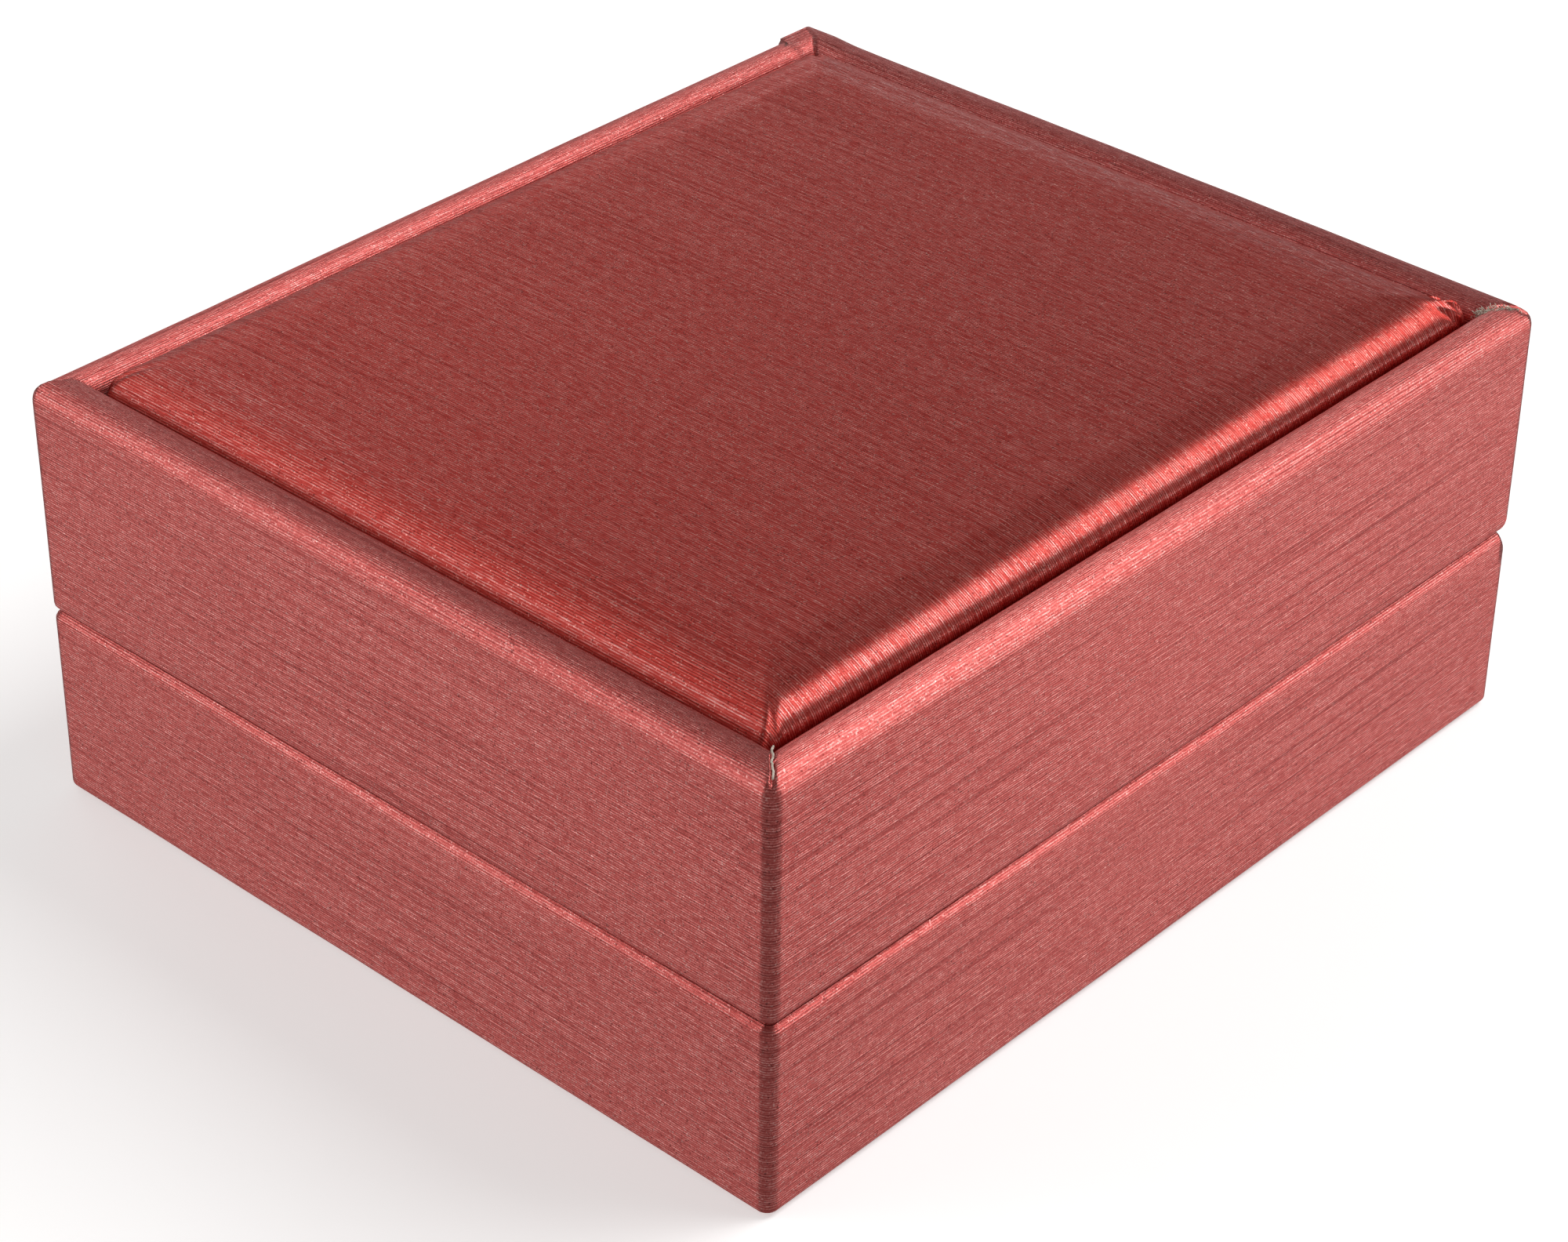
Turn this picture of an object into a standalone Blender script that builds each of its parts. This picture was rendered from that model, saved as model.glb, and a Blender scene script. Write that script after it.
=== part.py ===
"""Hinged necklace box covered in ribbed leatherette, with a padded lid and a lift-out insert.

Frame: metres, +Z up, origin at the middle of the box on the table. The front is -Y, the hinge side is +Y.
Across each wall the order is wrap, board, lining. The lid turns about a hinge axis that runs along X
through the bottom of the V groove at the back.
"""
import math

import bmesh
import bpy
from mathutils import Matrix, Vector

MM = 0.001

# Overall size
WIDTH = 90.0 * MM
DEPTH = 104.4 * MM
RIM_TOP = 44.1 * MM
JOINT_HEIGHT = 20.1 * MM
JOINT_GAP = 0.3 * MM

# Gaps between pieces
SEAT = 0.3 * MM
COLLAR_CLEARANCE = 0.5 * MM
PAD_CLEARANCE = 0.35 * MM
INSERT_CLEARANCE = 0.4 * MM

# Leatherette wrap
WRAP_THICKNESS = 0.5 * MM
CORNER_RADIUS = 1.2 * MM
INNER_CORNER_RADIUS = 0.6 * MM
RIM_OUTER_RADIUS = 2.0 * MM
RIM_INNER_RADIUS = 1.6 * MM
LID_EDGE_RADIUS = 0.6 * MM
BASE_EDGE_RADIUS = 1.0 * MM
BASE_INNER_EDGE_RADIUS = 0.6 * MM
FOOT_EDGE_RADIUS = 0.6 * MM
TURN_IN = 5.0 * MM
TURN_UNDER = 6.0 * MM

# Boards
FRONT_WALL = 2.6 * MM
SIDE_WALL = 2.2 * MM
BACK_WALL = 2.6 * MM
RECESS_DEPTH = 4.5 * MM
PANEL_THICKNESS = 2.0 * MM
FLOOR_THICKNESS = 2.2 * MM
SHEET_THICKNESS = 0.8 * MM
SHEET_PROUD = 0.3 * MM
SHEET_CORNER_RADIUS = 1.0 * MM

# V groove and hinge axis
PIVOT_INSET = 1.4 * MM
LID_BEVEL_RISE = 0.7 * MM
BASE_BEVEL_DROP = 2.1 * MM

# Padded top
PAD_COVER = 0.45 * MM
PAD_BOARD = 1.3 * MM
PAD_SIDE_HEIGHT = 2.5 * MM
PAD_ROLL_WIDTH = 5.0 * MM
PAD_ROLL_HEIGHT = 3.2 * MM
PAD_DOME = 0.4 * MM
PAD_CORNER_RADIUS = 1.6 * MM
PAD_DRAW_IN = 0.3 * MM
PAD_TURN_UNDER = 5.0 * MM

# Lid lining
LINING_THICKNESS = 0.6 * MM
LINING_BOARD = 1.0 * MM
LINING_FOAM = 2.3 * MM
SATIN_THICKNESS = 0.4 * MM
SATIN_ROLL_WIDTH = 4.0 * MM
SATIN_ROLL_HEIGHT = 2.2 * MM
SATIN_DOME = 0.8 * MM
SATIN_CORNER_RADIUS = 1.5 * MM

# Base collar and back lining strip
COLLAR_THICKNESS = 1.2 * MM
COLLAR_RISE = 4.5 * MM
COLLAR_TOP_RADIUS = 0.4 * MM
BACK_STRIP_THICKNESS = 0.8 * MM

# Insert
INSERT_BOARD = 1.5 * MM
INSERT_BACK_ROOM = 2.3 * MM
VELVET_THICKNESS = 0.6 * MM
VELVET_SIDE_HEIGHT = 10.1 * MM
VELVET_ROLL_WIDTH = 2.6 * MM
VELVET_ROLL_HEIGHT = 1.6 * MM
VELVET_DOME = 0.4 * MM
VELVET_CORNER_RADIUS = 1.5 * MM
SLIT_LENGTH = 9.0 * MM
SLIT_WIDTH = 0.9 * MM
SLIT_DEPTH = 6.0 * MM
SLIT_FROM_SIDE = 13.0 * MM
SLIT_FROM_BACK = 13.0 * MM

# Hinges
HINGE_SPREAD = 50.0 * MM
HINGE_WIDTH = 12.0 * MM
LEAF_THICKNESS = 0.8 * MM
LEAF_HEIGHT = 11.0 * MM
ARM_HALF_GAP_BASE = 0.3 * MM
ARM_HALF_GAP_LID = 0.2 * MM
KNUCKLE_RADIUS = 1.05 * MM
KNUCKLE_LENGTH = 3.2 * MM
KNUCKLE_GAP = 0.3 * MM
CAM_HALF = 0.95 * MM
CAM_CORNER_RADIUS = 0.42 * MM
PIN_RADIUS = 0.5 * MM
PIN_CLEARANCE = 0.12 * MM
PIN_HEAD_RADIUS = 0.85 * MM
PIN_HEAD = 0.35 * MM
SPRING_THICKNESS = 0.35 * MM
SPRING_WIDTH = 4.6 * MM
SPRING_FOOT_WIDTH = 10.0 * MM
SPRING_FOOT_TOP = 5.5 * MM
SPRING_FOOT_BOTTOM = 10.0 * MM
SPRING_CAM_GAP = 0.35 * MM
SPRING_TIP = 0.5 * MM
SPRING_SEAT = 0.2 * MM
RIVET_SPACING = 7.2 * MM
RIVET_DROP = 8.0 * MM
RIVET_RADIUS = 0.55 * MM
RIVET_HEAD_RADIUS = 1.1 * MM
RIVET_HEAD = 0.5 * MM
RIVET_HOLE_CLEARANCE = 0.15 * MM
RIVET_IN_WALL = 1.9 * MM
MORTISE_SIDE = 0.8 * MM
MORTISE_BELOW = 2.0 * MM
MORTISE_ABOVE = 1.5 * MM
MORTISE_FOOT = 6.0 * MM

# Smoothness and modelling limits
CORNER_STEPS = 3
ROUND_SEGMENTS = 20
SMALL_ROUND_SEGMENTS = 12
SIDE_STEPS = 7
ROLL_STEPS = 5
CROWN_SHARES = (0.3, 0.55, 0.8)
CORNER_GROWTH = 0.6
SMALLEST_CORNER = 0.2 * MM
KINK_MARGIN = 0.05 * MM
TOLERANCE = 0.01 * MM
SHARP_ANGLE = math.radians(35)

# Places that follow from the sizes above
HALF_W = WIDTH / 2
HALF_D = DEPTH / 2
PIVOT_Y = HALF_D - PIVOT_INSET
LID_BOTTOM = JOINT_HEIGHT + JOINT_GAP / 2
BASE_TOP = JOINT_HEIGHT - JOINT_GAP / 2
SHELL = WRAP_THICKNESS + SEAT
FRONT_RIM = 2 * SHELL + FRONT_WALL
SIDE_RIM = 2 * SHELL + SIDE_WALL
BACK_RIM = 2 * SHELL + BACK_WALL
RECESS_FLOOR = RIM_TOP - RECESS_DEPTH
PANEL_BOTTOM = RECESS_FLOOR - PANEL_THICKNESS
BOARD_BOTTOM = SHEET_PROUD + SHELL
FLOOR_TOP = BOARD_BOTTOM + FLOOR_THICKNESS
BACK_FACE_OF_LEAF = HALF_D - SHELL - BACK_WALL - SEAT
OUT_OF_BACK = PIVOT_Y + 2 * PIVOT_INSET
PIVOT = Vector((0.0, PIVOT_Y, JOINT_HEIGHT))

COLLECTION = "necklace_box"


def clear_scene():
    for obj in list(bpy.data.objects):
        bpy.data.objects.remove(obj, do_unlink=True)


def collection(name):
    made = bpy.data.collections.new(name)
    bpy.context.scene.collection.children.link(made)
    return made


def material(name, color, roughness, metallic=0.0):
    found = bpy.data.materials.get(name)
    if found:
        return found
    made = bpy.data.materials.new(name)
    made.use_nodes = True
    shader = made.node_tree.nodes["Principled BSDF"]
    shader.inputs["Base Color"].default_value = (*color, 1.0)
    shader.inputs["Roughness"].default_value = roughness
    shader.inputs["Metallic"].default_value = metallic
    return made


def leatherette():
    return material("copper_leatherette", (0.38, 0.09, 0.085), 0.42, 0.55)


def millboard():
    return material("millboard", (0.42, 0.33, 0.24), 0.9)


def foam():
    return material("foam", (0.85, 0.83, 0.76), 0.95)


def satin():
    return material("ivory_satin", (0.82, 0.77, 0.66), 0.35)


def velvet():
    return material("ivory_velvet", (0.74, 0.68, 0.57), 0.95)


def flock_paper():
    return material("black_flock_paper", (0.02, 0.02, 0.022), 0.95)


def plated_steel():
    return material("plated_steel", (0.62, 0.55, 0.42), 0.3, 1.0)


def spring_steel():
    return material("spring_steel", (0.45, 0.46, 0.48), 0.32, 1.0)


def add_piece(name, bm, mat, parent=None, at=(0.0, 0.0, 0.0), smooth=False):
    """Make a named object of a mesh whose points are in world coordinates, with its origin moved to at."""
    origin = Vector(at)
    mesh = bpy.data.meshes.new(name)
    bmesh.ops.translate(bm, verts=bm.verts, vec=-origin)
    bm.to_mesh(mesh)
    bm.free()
    mesh.materials.append(mat)
    if smooth:
        mesh.shade_smooth()
        mesh.set_sharp_from_angle(angle=SHARP_ANGLE)
    obj = bpy.data.objects.new(name, mesh)
    PARTS.objects.link(obj)
    place(obj, origin, parent)
    return obj


def place(obj, origin, parent):
    obj.parent = parent
    obj.location = origin - (parent.location if parent else Vector())


def add_cutter(name, bm):
    mesh = bpy.data.meshes.new(name)
    bmesh.ops.recalc_face_normals(bm, faces=bm.faces)
    bm.to_mesh(mesh)
    bm.free()
    obj = bpy.data.objects.new(name, mesh)
    CUTTERS.objects.link(obj)
    obj.hide_render = True
    obj.display_type = 'WIRE'
    return obj


def cut(obj, cutter):
    mod = obj.modifiers.new("cut " + cutter.name, 'BOOLEAN')
    mod.operation = 'DIFFERENCE'
    mod.object = cutter


def box_mesh(low, high):
    low, high = Vector(low), Vector(high)
    bm = bmesh.new()
    bmesh.ops.create_cube(bm, size=1.0)
    bmesh.ops.scale(bm, vec=high - low, verts=bm.verts)
    bmesh.ops.translate(bm, vec=(low + high) / 2, verts=bm.verts)
    return bm


def round_edges(bm, test, radius, steps=CORNER_STEPS):
    """Bevel the edges whose middle point and direction pass the test."""
    chosen = []
    for edge in bm.edges:
        a, b = (v.co for v in edge.verts)
        if test((a + b) / 2, (b - a).normalized()):
            chosen.append(edge)
    bmesh.ops.bevel(bm, geom=chosen, offset=radius, offset_type='OFFSET', segments=steps,
                    profile=0.5, affect='EDGES', clamp_overlap=True)


def cut_plane(bm, point, normal):
    """Take away what lies beyond a plane and close the cut."""
    made = bmesh.ops.bisect_plane(bm, geom=bm.verts[:] + bm.edges[:] + bm.faces[:], plane_co=point,
                                  plane_no=normal, clear_outer=True)
    edges = [g for g in made["geom_cut"] if isinstance(g, bmesh.types.BMEdge)]
    bmesh.ops.contextual_create(bm, geom=edges)


def extrude_outline(points, x0, x1):
    """Extrude an outline given as (y, z) points along X from x0 to x1."""
    bm = bmesh.new()
    face = bm.faces.new([bm.verts.new((x0, y, z)) for y, z in points])
    made = bmesh.ops.extrude_face_region(bm, geom=[face])
    moved = [g for g in made["geom"] if isinstance(g, bmesh.types.BMVert)]
    bmesh.ops.translate(bm, vec=(x1 - x0, 0, 0), verts=moved)
    bmesh.ops.recalc_face_normals(bm, faces=bm.faces)
    return bm


def arc(center, radius, start, end, steps):
    """Points on an arc in a plane, from one angle in degrees to another, both ends included."""
    points = []
    for i in range(steps + 1):
        angle = math.radians(start + (end - start) * i / steps)
        points.append((center[0] + radius * math.cos(angle), center[1] + radius * math.sin(angle)))
    return points


def rod_mesh(center, radius, length, axis, segments=ROUND_SEGMENTS):
    bm = bmesh.new()
    bmesh.ops.create_cone(bm, cap_ends=True, segments=segments, radius1=radius, radius2=radius, depth=length)
    turn = Vector((0, 0, 1)).rotation_difference(Vector(axis)).to_matrix().to_4x4()
    bmesh.ops.transform(bm, matrix=Matrix.Translation(center) @ turn, verts=bm.verts)
    return bm


def turned(name, profile, mat, parent, at, axis, smooth=True):
    """Revolve a profile of (radius, height) points, listed from the top down, and lay its axis along axis."""
    mesh = bpy.data.meshes.new(name)
    points = [(r, 0.0, z) for r, z in profile]
    mesh.from_pydata(points, [(i, i + 1) for i in range(len(points) - 1)], [])
    mesh.materials.append(mat)
    obj = bpy.data.objects.new(name, mesh)
    PARTS.objects.link(obj)
    screw = obj.modifiers.new("turn", 'SCREW')
    screw.axis = 'Z'
    screw.steps = screw.render_steps = ROUND_SEGMENTS
    screw.use_merge_vertices = True
    screw.merge_threshold = 0.00001
    screw.use_smooth_shade = smooth
    place(obj, Vector(at), parent)
    obj.rotation_mode = 'QUATERNION'
    obj.rotation_quaternion = Vector((0, 0, 1)).rotation_difference(Vector(axis))
    return obj


# Rings and lofts


def ring(half_x, front_y, back_y, z, radius, side_steps=1, kink=None, height=None):
    """Points round a rectangle with rounded corners, counter-clockwise seen from above.

    kink is a depth where each side gets a point of its own, and height(x, y) is added to z.
    """
    centers = [(half_x - radius, front_y + radius, -90), (half_x - radius, back_y - radius, 0),
               (radius - half_x, back_y - radius, 90), (radius - half_x, front_y + radius, 180)]
    flat = []
    for i, (cx, cy, start) in enumerate(centers):
        corner = arc((cx, cy), radius, start, start + 90, CORNER_STEPS)
        flat += corner
        nx, ny, turn = centers[(i + 1) % 4]
        after = arc((nx, ny), radius, turn, turn + 90, CORNER_STEPS)[0]
        flat += between(corner[-1], after, side_steps, kink if i in (0, 2) else None, i == 0)
    return [Vector((x, y, z + (height(x, y) if height else 0.0))) for x, y in flat]


def between(a, b, steps, kink, rising):
    """Points between two ends of a side, with one at the kink's depth where there is one."""
    if kink is None:
        shares = [i / steps for i in range(1, steps)]
    else:
        near, far = (a[1], b[1]) if rising else (b[1], a[1])
        y = min(kink, far - KINK_MARGIN)
        share = (y - near) / (far - near)
        shares = [share if rising else 1 - share]
    return [(a[0] + (b[0] - a[0]) * s, a[1] + (b[1] - a[1]) * s) for s in shares]


def loft(rings, close_start=False, close_end=False):
    """Skin a list of rings that all have as many points."""
    bm = bmesh.new()
    rows = [[bm.verts.new(p) for p in points] for points in rings]
    count = len(rows[0])
    for low, high in zip(rows, rows[1:]):
        for i in range(count):
            j = (i + 1) % count
            bm.faces.new((low[i], low[j], high[j], high[i]))
    if close_start:
        bm.faces.new(list(reversed(rows[0])))
    if close_end:
        bm.faces.new(rows[-1])
    return bm


def solidify(obj, thickness):
    mod = obj.modifiers.new("thickness", 'SOLIDIFY')
    mod.thickness = thickness
    mod.offset = -1.0
    mod.use_even_offset = True
    mod.use_quality_normals = True
    return mod


def quarter(radius, steps=3):
    """(inset, drop) pairs round a quarter circle, from the flat on top to the upright side."""
    for i in range(steps + 1):
        angle = math.radians(90 * i / steps)
        yield radius * (1 - math.sin(angle)), radius * (1 - math.cos(angle))


# Wraps


def outer_ring(inset, z, height=None):
    radius = max(CORNER_RADIUS - inset, SMALLEST_CORNER)
    return ring(HALF_W - inset, inset - HALF_D, HALF_D - inset, z, radius, kink=PIVOT_Y, height=height)


def inner_ring(offset, z):
    """A ring offset outwards from the inner face of the rim."""
    half_x = HALF_W - SIDE_RIM + offset
    return ring(half_x, FRONT_RIM - offset - HALF_D, HALF_D - BACK_RIM + offset, z,
                INNER_CORNER_RADIUS, kink=PIVOT_Y)


def lid_bevel(x, y):
    return max(0.0, y - PIVOT_Y) * LID_BEVEL_RISE / PIVOT_INSET


def base_bevel(x, y):
    return -max(0.0, y - PIVOT_Y) * BASE_BEVEL_DROP / PIVOT_INSET


def lid_wrap(parent):
    rings = [inner_ring(0.0, LID_BOTTOM + TURN_IN)]
    edge = list(quarter(LID_EDGE_RADIUS, 2))
    rings += [inner_ring(inset, LID_BOTTOM + drop) for inset, drop in reversed(edge)]
    rings.append(outer_ring(PIVOT_INSET, LID_BOTTOM))
    rings += [outer_ring(inset, LID_BOTTOM + drop, lid_bevel) for inset, drop in edge]
    rim = reversed(list(quarter(RIM_OUTER_RADIUS, 4)))
    rings += [outer_ring(inset, RIM_TOP - drop) for inset, drop in rim]
    rings += [inner_ring(inset, RIM_TOP - drop) for inset, drop in quarter(RIM_INNER_RADIUS, 3)]
    rings.append(inner_ring(0.0, RECESS_FLOOR + SEAT))
    obj = add_piece("lid_wrap", loft(rings), leatherette(), parent, PIVOT, smooth=True)
    solidify(obj, WRAP_THICKNESS)
    return obj


def base_wrap():
    z0 = SHEET_PROUD
    foot = list(quarter(FOOT_EDGE_RADIUS, 2))
    edge = list(quarter(BASE_EDGE_RADIUS, 3))
    rings = [outer_ring(TURN_UNDER, z0)]
    rings += [outer_ring(inset, z0 + drop) for inset, drop in foot]
    rings += [outer_ring(inset, BASE_TOP - drop, base_bevel) for inset, drop in reversed(edge)]
    rings.append(outer_ring(PIVOT_INSET, BASE_TOP))
    inside = list(quarter(BASE_INNER_EDGE_RADIUS, 2))
    rings += [inner_ring(inset, BASE_TOP - drop) for inset, drop in inside]
    rings.append(inner_ring(0.0, BASE_TOP - TURN_IN))
    obj = add_piece("base_wrap", loft(rings), leatherette(), smooth=True)
    solidify(obj, WRAP_THICKNESS)
    return obj


# Boards


def is_along(direction, axis):
    return abs(direction[axis]) > 0.9


def wall_board(low, high, top_radius, inner_chamfer, outward):
    """A wall board whose top is rounded outside and chamfered inside, where the wrap bends over it."""
    bm = box_mesh(low, high)
    top = high[2]
    outer = Vector(outward)
    middle = (Vector(low) + Vector(high)) / 2

    def is_outer_top(mid, direction):
        on_end = abs(outer.y) > 0.5 and is_along(direction, 1)
        faces_out = (mid - middle).dot(outer) > 0 and not is_along(direction, 2)
        return abs(mid.z - top) < TOLERANCE and (faces_out or on_end)

    round_edges(bm, is_outer_top, top_radius)
    if inner_chamfer:
        thickness = abs((Vector(high) - Vector(low)).dot(outer))
        start = middle - outer * thickness / 2
        start.z = top - inner_chamfer
        cut_plane(bm, start, (Vector((0.0, 0.0, 1.0)) - outer).normalized())
    return bm


def wall_spans():
    """For each wall: low x, low y, high x, high y, and the direction that it faces."""
    x1 = HALF_W - SHELL
    y_front = SHELL - HALF_D
    y_back = HALF_D - SHELL
    side_y0 = y_front + FRONT_WALL + SEAT
    side_y1 = y_back - BACK_WALL - SEAT
    return {
        "front": (-x1, y_front, x1, y_front + FRONT_WALL, (0, -1, 0)),
        "back": (-x1, y_back - BACK_WALL, x1, y_back, (0, 1, 0)),
        "left": (-x1, side_y0, SIDE_WALL - x1, side_y1, (-1, 0, 0)),
        "right": (x1 - SIDE_WALL, side_y0, x1, side_y1, (1, 0, 0)),
    }


def lid_walls(parent):
    made = {}
    z0, z1 = LID_BOTTOM + SHELL, RIM_TOP - SHELL
    for side, (x0, y0, x1, y1, outward) in wall_spans().items():
        bm = wall_board((x0, y0, z0), (x1, y1, z1), RIM_OUTER_RADIUS - SHELL,
                        RIM_INNER_RADIUS - SHELL, outward)
        if side == "back":
            cut_plane(bm, *lid_bevel_plane())
        middle = ((x0 + x1) / 2, (y0 + y1) / 2, z0)
        made[side] = add_piece("lid_wall_" + side, bm, millboard(), parent, middle, smooth=True)
    return made


def base_walls():
    made = {}
    z0, z1 = BOARD_BOTTOM, BASE_TOP - SHELL
    for side, (x0, y0, x1, y1, outward) in wall_spans().items():
        bm = wall_board((x0, y0, z0), (x1, y1, z1), BASE_EDGE_RADIUS - SHELL, 0.0, outward)
        if side == "back":
            cut_plane(bm, *base_bevel_plane())
        middle = ((x0 + x1) / 2, (y0 + y1) / 2, z0)
        made[side] = add_piece("base_wall_" + side, bm, millboard(), None, middle, smooth=True)
    return made


def lid_bevel_plane():
    """The plane that trims the lid's back board, one shell inside the bevelled wrap."""
    outward = Vector((0.0, LID_BEVEL_RISE, -PIVOT_INSET)).normalized()
    start = Vector((0.0, PIVOT_Y, LID_BOTTOM))
    return start - outward * SHELL, outward


def base_bevel_plane():
    """The plane that trims the base's back board, one shell inside the bevel and its rounding."""
    knee = HALF_D - BASE_EDGE_RADIUS
    end_z = BASE_TOP - BASE_BEVEL_DROP - BASE_EDGE_RADIUS
    knee_z = BASE_TOP + base_bevel(0.0, knee)
    chord = Vector((0.0, HALF_D - knee, end_z - knee_z)).normalized()
    outward = Vector((0.0, -chord.z, chord.y))
    return Vector((0.0, knee, knee_z)) - outward * SHELL, outward


def inner_edges(gap):
    """Half width, front and back of the space between the wall boards, drawn in by a gap."""
    half_x = HALF_W - SHELL - SIDE_WALL - gap
    return half_x, SHELL + FRONT_WALL + gap - HALF_D, HALF_D - SHELL - BACK_WALL - gap


def flat_board(name, half_x, y0, y1, z0, z1, mat, parent=None, corner=0.0):
    bm = box_mesh((-half_x, y0, z0), (half_x, y1, z1))
    if corner:
        round_edges(bm, lambda mid, way: is_along(way, 2), corner)
    return add_piece(name, bm, mat, parent, (0.0, (y0 + y1) / 2, z0))


def lid_panel(parent):
    half_x, y0, y1 = inner_edges(SEAT)
    return flat_board("lid_panel", half_x, y0, y1, PANEL_BOTTOM, RECESS_FLOOR, millboard(), parent)


def base_floor():
    half_x, y0, y1 = inner_edges(SEAT)
    return flat_board("base_floor", half_x, y0, y1, BOARD_BOTTOM, FLOOR_TOP, millboard())


def bottom_sheet():
    """The sheet that closes the bottom, set inside the wrap's turned-under edge."""
    inset = TURN_UNDER + SEAT
    bm = box_mesh((inset - HALF_W, inset - HALF_D, 0.0), (HALF_W - inset, HALF_D - inset, SHEET_THICKNESS))
    round_edges(bm, lambda mid, way: is_along(way, 2), SHEET_CORNER_RADIUS)
    return add_piece("bottom_sheet", bm, flock_paper())


# Collar and linings


def collar_spans():
    """Outer and inner faces of the collar strips."""
    side_out = HALF_W - SIDE_RIM - COLLAR_CLEARANCE
    front_out = FRONT_RIM + COLLAR_CLEARANCE - HALF_D
    return side_out, side_out - COLLAR_THICKNESS, front_out, front_out + COLLAR_THICKNESS


def collar():
    side_out, side_in, front_out, front_in = collar_spans()
    z0, z1 = FLOOR_TOP + SEAT, JOINT_HEIGHT + COLLAR_RISE
    back = HALF_D - BACK_RIM - COLLAR_CLEARANCE
    spans = {"front": (-side_out, front_out, side_out, front_in),
             "left": (-side_out, front_in + SEAT, -side_in, back),
             "right": (side_in, front_in + SEAT, side_out, back)}
    for side, (x0, y0, x1, y1) in spans.items():
        bm = box_mesh((x0, y0, z0), (x1, y1, z1))
        round_edges(bm, lambda mid, way: mid.z > z1 - TOLERANCE, COLLAR_TOP_RADIUS, 2)
        add_piece("collar_" + side, bm, velvet(), None, ((x0 + x1) / 2, (y0 + y1) / 2, z0), smooth=True)


def base_lining_back():
    side_in = collar_spans()[1]
    y1 = HALF_D - BACK_RIM - SEAT
    z0 = FLOOR_TOP + SEAT
    bm = box_mesh((SEAT - side_in, y1 - BACK_STRIP_THICKNESS, z0), (side_in - SEAT, y1, BASE_TOP))
    return add_piece("base_lining_back", bm, velvet(), None, (0.0, y1, z0))


def lid_linings(parent):
    half_x, y0, y1 = inner_edges(SEAT)
    z0, z1 = LID_BOTTOM + TURN_IN + SEAT, PANEL_BOTTOM - SEAT
    inner_y0, inner_y1 = y0 + LINING_THICKNESS, y1 - LINING_THICKNESS
    side_y0, side_y1 = inner_y0 + SEAT, inner_y1 - SEAT
    inner_x = half_x - LINING_THICKNESS
    spans = {"front": (-half_x, y0, half_x, inner_y0), "back": (-half_x, inner_y1, half_x, y1),
             "left": (-half_x, side_y0, -inner_x, side_y1), "right": (inner_x, side_y0, half_x, side_y1)}
    made = {}
    for side, (a, b, c, d) in spans.items():
        bm = box_mesh((a, b, z0), (c, d, z1))
        made[side] = add_piece("lid_lining_" + side, bm, satin(), parent, ((a + c) / 2, (b + d) / 2, z0))
    return made


# Padded pieces


def pillow_rings(half_x, y0, y1, side_z, roll_width, roll_height, dome, corner, draw_in, foot_z, up=1.0):
    """Rings up a padded piece: drawn-in sides, a rolled edge, and a gently domed top.

    up is -1 for a piece that swells downwards.
    """
    middle_y, half_y = (y0 + y1) / 2, (y1 - y0) / 2

    def crown(x, y):
        share_x = min(abs(x) / (half_x - roll_width), 1.0)
        share_y = min(abs(y - middle_y) / (half_y - roll_width), 1.0)
        return up * dome * (1 - share_x ** 2) * (1 - share_y ** 2)

    def at(inset, z, height=None):
        radius = min(corner + CORNER_GROWTH * inset, (half_x - inset) / 2, (half_y - inset) / 2)
        return ring(half_x - inset, y0 + inset, y1 - inset, z, radius, SIDE_STEPS, height=height)

    rings = [at(draw_in, foot_z), at(0.0, side_z)]
    for i in range(1, ROLL_STEPS + 1):
        angle = math.radians(90 * i / ROLL_STEPS)
        rings.append(at(roll_width * (1 - math.cos(angle)), side_z + up * roll_height * math.sin(angle)))
    top = side_z + up * roll_height
    for share in CROWN_SHARES:
        rings.append(at(roll_width + (half_x - 2 * roll_width) * share, top, crown))
    return rings


def pad_plan(inset):
    half_x = HALF_W - SIDE_RIM - PAD_CLEARANCE - inset
    return (half_x, FRONT_RIM + PAD_CLEARANCE + inset - HALF_D,
            HALF_D - BACK_RIM - PAD_CLEARANCE - inset)


def pad(parent):
    """The padded top: a board, foam on it, and a cover drawn over both and turned under the board."""
    foot = RECESS_FLOOR + SEAT
    side_z = foot + PAD_SIDE_HEIGHT
    half_x, y0, y1 = pad_plan(0.0)
    rings = pillow_rings(half_x, y0, y1, side_z, PAD_ROLL_WIDTH, PAD_ROLL_HEIGHT, PAD_DOME,
                         PAD_CORNER_RADIUS, PAD_DRAW_IN, foot)
    under = ring(half_x - PAD_TURN_UNDER, y0 + PAD_TURN_UNDER, y1 - PAD_TURN_UNDER, foot,
                 PAD_CORNER_RADIUS, SIDE_STEPS)
    skin = loft([under] + rings, close_end=True)
    cover = add_piece("pad_cover", skin, leatherette(), parent, PIVOT, smooth=True)
    solidify(cover, PAD_COVER)

    inside = PAD_COVER + SEAT
    board_x, board_y0, board_y1 = pad_plan(inside + PAD_DRAW_IN)
    board_z = foot + inside
    flat_board("pad_board", board_x, board_y0, board_y1, board_z, board_z + PAD_BOARD, millboard(), parent,
               PAD_CORNER_RADIUS - PAD_COVER)

    foam_x, foam_y0, foam_y1 = pad_plan(inside)
    foam_foot = board_z + PAD_BOARD + SEAT
    rings = pillow_rings(foam_x, foam_y0, foam_y1, side_z, PAD_ROLL_WIDTH - inside, PAD_ROLL_HEIGHT - inside,
                         PAD_DOME, PAD_CORNER_RADIUS, 0.0, foam_foot)
    add_piece("pad_foam", loft(rings, True, True), foam(), parent, PIVOT, smooth=True)


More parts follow.
